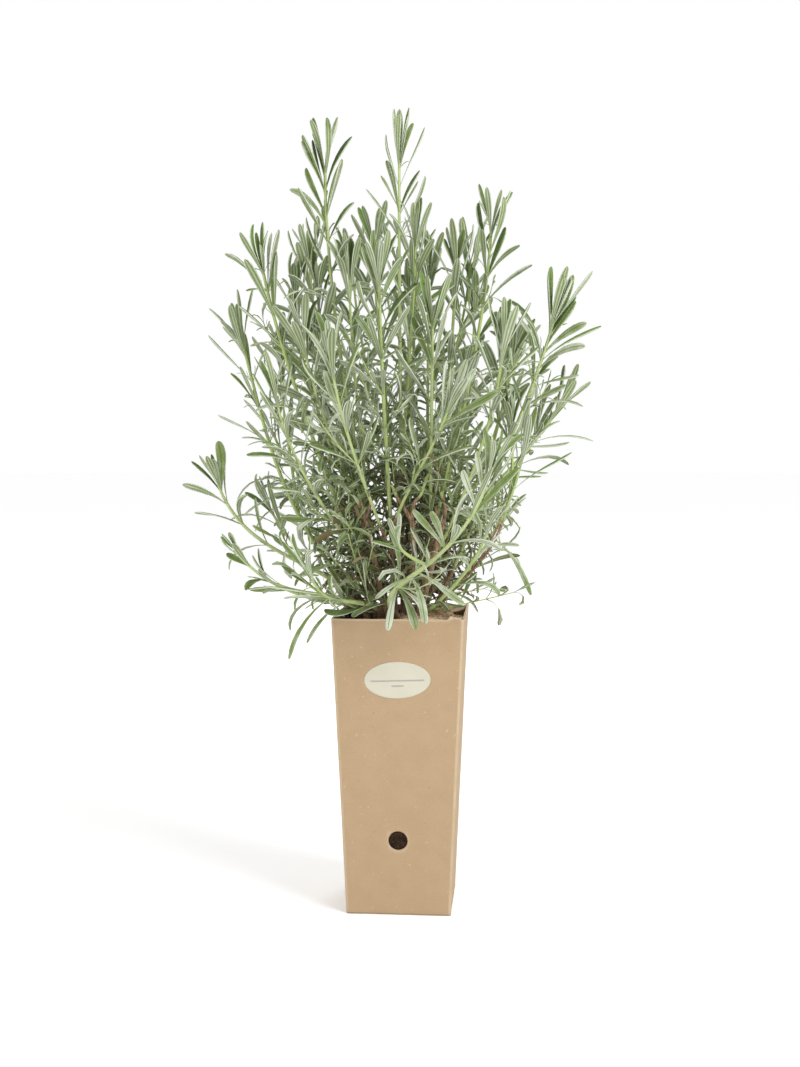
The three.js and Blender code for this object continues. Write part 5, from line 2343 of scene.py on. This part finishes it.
OWN_SEED = 500
SHARED_SEEDS = (1000, 10, 7)


@dataclass
class LeafySpray:
    """One woody stem with its forks, side shoots and leaves, as one piece."""

    plan: SprayPlan
    number: int
    carton: Carton
    rule: GrowthRule = GrowthRule()
    zones: Zones = Zones()
    tones: LeafTones = LeafTones()
    habit: LeafHabit = LeafHabit()
    whorl: WhorlHabit = WhorlHabit()
    room: PotRoom = PotRoom()
    wood: StemHabit = StemHabit()
    stems: list[Stem] = field(default_factory=list)
    blades: list[Blade] = field(default_factory=list)
    draft: MeshDraft = field(default_factory=lambda: MeshDraft(
        ("across", "under", "along", "tone", "fresh", "dry", "bark")))

    def __post_init__(self) -> None:
        """Seeds the draws that the frame doesn't share."""
        self.rng = np.random.default_rng(OWN_SEED + self.number)

    def centre_line(self, start: np.ndarray, shoot: Shoot) -> CentreLine:
        """A shoot's centre line, which leaves its start upright and swings out to its apex.

        Args:
            start: Where it starts.
            shoot: Its plan.

        Returns:
            The line.
        """
        apex = np.array(shoot.apex)
        if shoot.controls:
            low, high = (np.array(point) for point in shoot.controls)
        else:
            way = apex - start
            low = start + way * np.array([shoot.early, shoot.early, self.rule.low_control])
            high = start + way * np.array([shoot.late, shoot.late, self.rule.high_control])
        return CentreLine(np.array([start, low, high, apex]))

    def grow_stem(self, shoot: Shoot) -> Stem:
        """Grows one shoot from the spray's foot or from its leader.

        Args:
            shoot: Its plan.

        Returns:
            The grown stem.
        """
        rule = self.rule
        if shoot.fork is None:
            start = np.array([*self.plan.foot, rule.foot_top])
            radius = self.plan.girth * rule.base_radius
        else:
            leader = self.stems[0]
            start = leader.line.point(shoot.fork)
            here = leader.radius + (rule.tip_radius - leader.radius) * shoot.fork
            radius = rule.fork_share * here
        across = unit(np.cross(UP, np.array(shoot.apex) - start))
        return Stem(shoot, self.centre_line(start, shoot), across, radius)

    def in_pot(self, points: np.ndarray, above: float, clear: float) -> bool:
        """Whether any of the points lies in the carton's board or in the soil.

        Args:
            points: The points.
            above: How far above the rim they have to stay.
            clear: How far out of the carton they have to stay below that.

        Returns:
            True if one of them does.
        """
        room, z = self.room, points[:, 2]
        wide = np.abs(points[:, :2]).max(axis=1)
        outer = self.carton.half_at(z)
        inner = outer - self.carton.board - room.inside
        in_board = (z < self.carton.height + above) & (wide > inner) & (wide < outer + clear)
        in_soil = (z < room.soil_top) & (wide <= outer)
        return bool((in_board | in_soil).any())

    def leaf_in_pot(self, blade: Blade, above: float, clear: float) -> bool:
        """Whether a leaf does, but for its root."""
        return self.in_pot(midribs([blade])[0][0, self.room.root_steps:], above, clear)

    def keep(self, blade: Blade) -> None:
        """Keeps a leaf that is clear of the pot, lifted a little if it has to be."""
        room = self.room
        above = room.small_above if blade.shape is BladeShape.SLIM else room.above
        for _ in range(room.tries):
            if not self.leaf_in_pot(blade, above, room.leaf_clear):
                self.blades.append(blade)
                return
            blade = replace(blade, angle=blade.angle * room.lift, curl=blade.curl * room.straighten)

    def mood(self, place: np.ndarray, age: float, small: bool = False) -> dict[str, float]:
        """A leaf's colours: its tone, and now and then fresh green or dry brown, with light and shade
        painted in by where it grows.

        Args:
            place: Where it grows.
            age: 0 for a leaf near its shoot's tip and 1 for an old one.
            small: Whether it is a leaf of a side shoot.

        Returns:
            The leaf's marks.
        """
        rng, tones, zones = self.rng, self.tones, self.zones
        core = zones.core(place)
        if rng.uniform() < tones.fresh_chance * (1 - age):
            fresh = rng.uniform(*tones.fresh)
        else:
            fresh = max(0.0, rng.normal(*tones.usual_fresh))
        # In the shaded middle, leaves are painted darker and browner: partly real dry leaves, partly
        # painted shade.
        if small and rng.uniform() < tones.dry_chance + tones.core_dry_and_shade_chance * core:
            dry = rng.uniform(*tones.dry)
        else:
            dry = tones.core_dry_and_shade * core * rng.uniform()
        tone = rng.uniform(*tones.tone) + tones.by_age * age + tones.by_size * small
        # Painted light: the front's low leaves are paler, as if lit.
        tone += tones.by_front_light * zones.front(place) - tones.by_core * core
        # Painted shade: the crown's leaves are darker, to offset the back light on them.
        tone -= tones.by_crown_shade * zones.crown_level.of(place[2])
        # No fresh green in the shaded middle, as part of its painted shade.
        return {"tone": tone, "fresh": fresh * (1 - core), "dry": dry}

    def placed_leaves(self, stem: Stem) -> None:
        """Adds the listed leaves."""
        rng, habit = self.rng, self.habit
        for row in stem.plan.placed:
            heading, tilt, curl, roll = np.radians((row.heading, row.tilt, row.curl, row.roll))
            out = np.array([math.cos(heading), math.sin(heading), 0.0])
            blade = Blade(
                stem.line.point(row.share), UP, out, row.length, row.width, float(tilt), float(curl),
                flick=rng.normal(0, habit.placed_spread), twist=rng.normal(0, habit.placed_spread),
                roll=float(roll), tone=rng.uniform(*habit.placed_tone))
            if not self.leaf_in_pot(blade, self.room.above, self.room.clear):
                self.blades.append(blade)

    def leaf_pairs(self, stem: Stem, draws: Draws) -> None:
        """Adds the leaf pairs of a shoot from its apex down, with their side shoots.

        Args:
            stem: The shoot.
            draws: The row of numbers that the frame uses too.
        """
        rule = self.rule
        below = 0.0
        start_turn = math.pi * draws.next()
        pair = 0
        while True:
            below += pick(rule.gaps, pair) * (1 + draws.spread(rule.gap_spread))
            if below > stem.line.length - rule.lowest:
                return
            share = 1 - below / stem.line.length
            spin = start_turn + pair * math.pi / 2 + draws.spread(rule.turn_spread)
            for side in (0, 1):
                self.main_leaf(stem, share, pair, spin + side * math.pi, draws)
            pair += 1

    def main_leaf(self, stem: Stem, share: float, pair: int, around: float, draws: Draws) -> None:
        """Adds one leaf of a pair, with the leaf beside it and the side shoot in its axil.

        Args:
            stem: The shoot.
            share: Where on the shoot it grows.
            pair: Which leaf pair it belongs to.
            around: The angle around the shoot that it points to.
            draws: The row of numbers that the frame uses too.
        """
        rng, rule, habit, plan = self.rng, self.rule, self.habit, stem.plan
        at, along, first, second = stem.frame_at(share)
        bare = self.zones.bareness(at)
        barely = min(bare, 1.0)
        age = habit.old.of(pair)
        loose = max(age, self.zones.loose_level.of(at[2]))
        settled = min(1.0, pair / rule.curl_settles)
        least, most = (top + (low - top) * settled for top, low in zip(rule.curl_top, rule.curl_low))
        length = pick(rule.lengths, pair) * (1 + draws.spread(rule.length_spread))
        width = pick(rule.widths, pair) * (1 + draws.spread(rule.width_spread))
        angle = pick(rule.angles, pair) + draws.spread(rule.angle_spread)
        bend = least + (most - least) * draws.next()
        sway = draws.spread(rule.sway_spread)
        breadth = plan.breadth * (habit.breadth - habit.slimmer * max(barely, age))
        toothed = plan.breadth > habit.toothed_breadth and pair < habit.toothed_pairs

        def loosened(amount: Pair) -> float:
            """The usual amount, with what looseness adds."""
            return amount[0] + amount[1] * loose

        blade = Blade(
            at, along, swung(first, second, around), length * plan.leafage, width * breadth,
            math.radians(angle), math.radians(bend) * (1 + habit.droop * barely),
            flick=rng.normal(loosened(habit.flick), loosened(habit.flick_spread)),
            sway=sway + rng.normal(0, loosened(habit.sway_spread)),
            twist=rng.normal(0, loosened(habit.twist_spread)),
            roll=rng.normal(0, habit.roll_spread),
            **self.mood(at, age), shape=BladeShape.TOOTHED if toothed else BladeShape.FULL)
        if pair < habit.full_pairs or rng.uniform() > habit.loss * bare:
            self.keep(blade)
        self.companion(blade, pair, bare, plan.lush)
        self.axil(blade, pair, bare, plan.lush)

    def companion(self, leader: Blade, pair: int, bare: float, lush: float) -> None:
        """Adds a second leaf beside a main one, as in a whorl, if it has one.

        Args:
            leader: The main leaf.
            pair: Which leaf pair it belongs to.
            bare: How bare the shoot is there.
            lush: How much more than usual the shoot carries.
        """
        rng, whorl = self.rng, self.whorl
        if rng.uniform() > lush * pick(whorl.chances, pair) * (1 - whorl.loss * bare):
            return
        turn = float(rng.choice((-1, 1))) * rng.uniform(*whorl.turn)
        self.keep(replace(
            leader,
            out=turned(leader.out, leader.along, turn),
            length=leader.length * rng.uniform(*whorl.length),
            width=leader.width * rng.uniform(*whorl.width),
            angle=leader.angle * rng.uniform(*whorl.angle),
            curl=leader.curl + rng.normal(0, whorl.curl),
            twist=rng.normal(0, whorl.twist),
            tone=leader.tone + rng.normal(0, whorl.tone),
        ))

    def axil(self, leader: Blade, pair: int, bare: float, lush: float) -> None:
        """Adds the side shoot in a main leaf's axil, if it has one.

        Args:
            leader: The main leaf.
            pair: Which leaf pair it belongs to.
            bare: How bare the shoot is there.
            lush: How much more than usual the shoot carries.
        """
        grown = self.habit.grown.of(pair)
        for habit in (LATERAL, TUFT):
            kept = 1 - habit.loss * min(bare, habit.barest)
            if self.rng.uniform() < lush * pick(habit.chances, pair) * kept:
                self.twig(leader, habit, habit.least_size + (1 - habit.least_size) * grown)
                return

    def twig(self, leader: Blade, habit: TwigHabit, size: float) -> None:
        """Grows a side shoot with its own small leaves.

        Args:
            leader: The leaf whose axil it starts in.
            habit: How it grows.
            size: Scales its length and its leaves.
        """
        rng = self.rng
        if rng.uniform() < habit.gap_loss * self.zones.opening(leader.at):
            return
        length = size * rng.uniform(*habit.length)
        leaf = size * rng.uniform(*habit.leaf)
        pairs = max(1, round(length / habit.spacing))
        steps = max(habit.least_steps, 2 * pairs)
        lean = math.radians(rng.uniform(*habit.lean))
        heading = leader.along * math.cos(lean) + leader.out * math.sin(lean)
        drift = rng.normal(0, habit.drift, 3)
        points = [leader.at]
        for _ in range(steps):
            heading = unit(heading + (UP * habit.lift + drift) / steps)
            points.append(points[-1] + heading * length / steps)
        line = np.array(points)
        if self.in_pot(line[2:], self.room.above, self.room.clear):
            return
        facing = unit(np.cross(heading, rng.normal(size=3)))
        radii = np.linspace(1.0, habit.taper, steps + 1) * habit.radius
        vertices, faces = tube(line, radii, round_section(habit.sides), facing)
        self.draft.add(vertices, faces, finish=1, tone=rng.uniform(0, 1), bark=self.bark_at(vertices))
        spin = rng.uniform(0, FULL_TURN)
        for pair in range(pairs):
            share = (pair + 1) / pairs
            here = share * steps
            place = np.array([np.interp(here, np.arange(steps + 1), line[:, i]) for i in range(3)])
            along = unit(line[math.ceil(here)] - line[math.ceil(here) - 1])
            first = unit(facing - along * float(facing @ along))
            second = np.cross(along, first)
            last = pair == pairs - 1
            for side in (0, 1):
                around = spin + pair * math.pi / 2 + side * math.pi + rng.normal(0, habit.turn)
                own = leaf * rng.uniform(*habit.leaf_spread) * (habit.last_leaf if last else 1.0)
                angle = rng.uniform(*(habit.last_angle if last else habit.angle))
                self.keep(Blade(
                    place, along, swung(first, second, around),
                    own, own * rng.uniform(*habit.slimness), math.radians(angle),
                    math.radians(rng.uniform(*habit.curl)),
                    flick=rng.normal(*habit.flick), sway=rng.normal(0, habit.sway),
                    twist=rng.normal(0, habit.twist), roll=rng.normal(0, habit.roll),
                    **self.mood(place, 1 - share, small=True), shape=BladeShape.SLIM))

    def grow_old_wood(self, wood: OldWood) -> None:
        """Adds pruned old wood with a young shoot at the end of each arm.

        Args:
            wood: Its plan.
        """
        self.add_limb(wood.trunk, self.wood.trunk)
        for arm in wood.arms:
            end, along = self.add_limb((wood.trunk[-1], *arm), self.wood.arm)
            out = unit(np.cross(along, self.rng.normal(size=3)))
            self.twig(Blade(end, along, out, 0.0, 0.0, 0.0, 0.0), LATERAL, self.wood.limb_twig)

    def add_limb(self, corners: tuple[Point, ...], girth: Pair,
                 ) -> tuple[np.ndarray, np.ndarray]:
        """Adds a trunk or an arm of old wood.

        Args:
            corners: The points that it passes.
            girth: Its radius at the start and at the end.

        Returns:
            Its end and the direction that it has there.
        """
        rng, wood = self.rng, self.wood
        steps = wood.limb_steps * (len(corners) - 1)
        at = np.linspace(0, len(corners) - 1, steps + 1)
        line = np.column_stack([
            np.interp(at, np.arange(len(corners)), values) for values in zip(*corners)])
        line[1:-1] = (line[:-2] + 2 * line[1:-1] + line[2:]) / 4
        radii = np.linspace(*girth, steps + 1) * (1 + wood.limb_knots.at(line))
        section = round_section(*wood.limb_section)
        vertices, faces = tube(line, radii, section, unit(rng.normal(size=3)))
        vertices = vertices + wood.limb_scales.at(vertices)[:, None]
        bark = self.zones.stump_bark.at(vertices[:, 2])
        self.draft.add(vertices, faces, finish=1, tone=rng.uniform(0, wood.limb_tone), bark=bark)
        return line[-1], unit(line[-1] - line[-4])

    def thicket(self, stem: Stem) -> None:
        """Adds the tangle of thin, curled shoots round a stem's woody base."""
        rng = self.rng
        for _ in range(self.plan.tangle):
            at, along, first, second = stem.frame_at(rng.uniform(*self.wood.tangle_zone))
            out = swung(first, second, rng.uniform(0, FULL_TURN))
            self.twig(Blade(at, along, out, 0.0, 0.0, 0.0, 0.0), THICKET, 1.0)

    def bark_at(self, points: np.ndarray) -> np.ndarray:
        """How woody this spray's stems are at the points."""
        return self.zones.bark_at(points, self.plan.woody_reach)

    def add_stem(self, stem: Stem) -> None:
        """Adds a stem's square, felted tube, with its foot in the soil."""
        rule, wood = self.rule, self.wood
        steps = max(wood.least_steps, int(stem.line.length / wood.step))
        shares = np.linspace(0, 1, steps + 1)
        points = np.array([stem.line.point(share) for share in shares])
        radii = stem.radius + (rule.tip_radius - stem.radius) * shares
        radii = radii * (1 + wood.knots.at(points))
        if stem.plan.fork is None:
            levels = np.linspace(rule.foot_bottom, rule.foot_top, wood.foot_steps + 1)[:-1]
            foot = np.array([[*self.plan.foot, z] for z in levels])
            points = np.concatenate([foot, points])
            girth = np.full(len(foot), stem.radius * wood.foot_girth)
            radii = np.concatenate([girth, radii])
        vertices, faces = tube(points, radii, round_section(*wood.section), stem.across)
        tone = self.rng.uniform(0, 1)
        self.draft.add(vertices, faces, finish=1, tone=tone, bark=self.bark_at(vertices))

    def build(self, leaf: bpy.types.Material, stem: bpy.types.Material) -> bpy.types.Object:
        """Grows the spray and dresses it.

        Args:
            leaf: The leaves' material.
            stem: The stems' material.

        Returns:
            The piece.
        """
        for index, shoot in enumerate(self.plan.shoots):
            grown = self.grow_stem(shoot)
            self.stems.append(grown)
            self.add_stem(grown)
            self.placed_leaves(grown)
            by_spray, by_shoot, base = SHARED_SEEDS
            self.leaf_pairs(grown, Draws(by_spray * (self.number + 1) + by_shoot * index + base))
        self.thicket(self.stems[0])
        for wood in self.plan.old_wood:
            self.grow_old_wood(wood)
        for shape in BladeShape:
            blades = [blade for blade in self.blades if blade.shape is shape]
            if blades:
                points, faces, marks = blade_block(blades, shape)
                self.draft.add(points, faces, finish=0, **marks)
        name = self.plan.node.removeprefix("spray_") + "_growth"
        piece = self.draft.build(name, [leaf, stem])
        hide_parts(self.plan.node)
        return piece


# The studio: floor, light and camera.


@dataclass(frozen=True)
class AreaLight:
    """A soft square light.

    Attributes:
        name: Its name.
        place: Where it hangs.
        aim: The point that it faces.
        size: The length of its sides.
        power: Its power in watts.
    """

    name: str
    place: Point
    aim: Point
    size: float
    power: float

    def hang(self) -> None:
        """Adds the light to the scene."""
        data = bpy.data.lights.new(self.name, "AREA")
        data.size = self.size
        data.energy = self.power
        light = bpy.data.objects.new(self.name, data)
        light.location = self.place
        toward = Vector(self.aim) - Vector(self.place)
        light.rotation_euler = toward.to_track_quat("-Z", "Y").to_euler()
        bpy.context.scene.collection.objects.link(light)


@dataclass
class Studio:
    """A pale floor, soft light from the right and the camera. Its angles are in radians."""

    sensor_width: float = 36.0
    camera_azimuth: float = math.radians(4.61)
    camera_distance: float = 1.132
    camera_height: float = 0.364
    camera_pitch: float = math.radians(3.79)
    focal_length: float = 49.23
    frame_shift: float = -2.47 / 1067
    floor_radii: Point = (14.0, 2.0, 0.4)
    floor_sides: int = 96
    floor_drop: float = 0.02 * MM
    world_glow: float = 0.52
    lights: tuple[AreaLight, ...] = (
        AreaLight("key_light", (1.3, -1.0, 1.5), (0.0, 0.0, 0.3), 1.0, 32.4),
        AreaLight("fill_light", (-1.5, -1.3, 0.9), (0.0, 0.0, 0.3), 1.4, 17.6),
        AreaLight("back_light", (0.3, 1.7, 1.2), (0.0, 0.0, 0.35), 1.4, 19.0),
    )

    def place_camera(self) -> None:
        """Makes the scene's camera, level but for its pitch."""
        data = bpy.data.cameras.new("studio_camera")
        data.sensor_width = self.sensor_width
        data.lens = self.focal_length
        data.shift_x = self.frame_shift
        camera = bpy.data.objects.new("studio_camera", data)
        camera.location = (
            math.sin(self.camera_azimuth) * self.camera_distance,
            -math.cos(self.camera_azimuth) * self.camera_distance,
            self.camera_height,
        )
        camera.rotation_euler = (math.pi / 2 - self.camera_pitch, 0.0, self.camera_azimuth)
        bpy.context.scene.collection.objects.link(camera)
        bpy.context.scene.camera = camera

    def lay_floor(self) -> None:
        """Lays the floor, a wide disc."""
        sides = self.floor_sides
        angle = np.arange(sides) / sides * FULL_TURN
        circle = np.column_stack([np.cos(angle), np.sin(angle), np.zeros(sides)])
        rings = np.concatenate([radius * circle for radius in self.floor_radii] + [np.zeros((1, 3))])
        draft = MeshDraft()
        draft.add(rings - self.floor_drop * UP, [
            grid_faces(len(self.floor_radii), sides, True),
            fan_faces(len(rings) - 1 - sides, sides, len(rings) - 1, True),
        ])
        draft.build("studio_floor", [FloorFinish().build()])

    def set_world(self) -> None:
        """Lights the scene evenly from all round, and shows the camera plain white."""
        world = bpy.data.worlds.new("studio_world")
        world.use_nodes = True
        world.node_tree.nodes.clear()
        wires = Wiring(world.node_tree)
        lit, seen = (
            wires.add("ShaderNodeBackground", {"Color": (1.0, 1.0, 1.0, 1.0), "Strength": strength})
            for strength in (self.world_glow, 1.0))
        path = wires.add("ShaderNodeLightPath")
        both = wires.add("ShaderNodeMixShader", {
            0: path.outputs["Is Camera Ray"], 1: lit.outputs[0], 2: seen.outputs[0]})
        wires.add("ShaderNodeOutputWorld", {"Surface": both.outputs[0]})
        bpy.context.scene.world = world

    def build(self) -> None:
        """Sets up the studio."""
        bpy.context.scene.view_settings.view_transform = "Standard"
        self.place_camera()
        self.lay_floor()
        self.set_world()
        for light in self.lights:
            light.hang()


def report(piece: bpy.types.Object) -> None:
    """Lets a piece ride on the pot's body and logs its size."""
    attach(piece, "root")
    triangles = sum(len(face.vertices) - 2 for face in piece.data.polygons)
    log.info("%s: %d triangles", piece.name, triangles)


def main() -> None:
    """Builds the potted lavender, from the studio to the last spray."""
    logging.basicConfig(level=logging.INFO, format="%(message)s")
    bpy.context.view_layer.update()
    Studio().build()
    carton = Carton()
    for piece in carton.build():
        report(piece)
    report(OvalLabel(carton).build())
    for piece in PottingSoil(carton).build():
        report(piece)
    leaf = LeafFinish().build()
    stem = StemFinish().build()
    for number, plan in enumerate(SPRAYS):
        report(LeafySpray(plan, number, carton).build(leaf, stem))


if __name__ == "__main__":
    main()
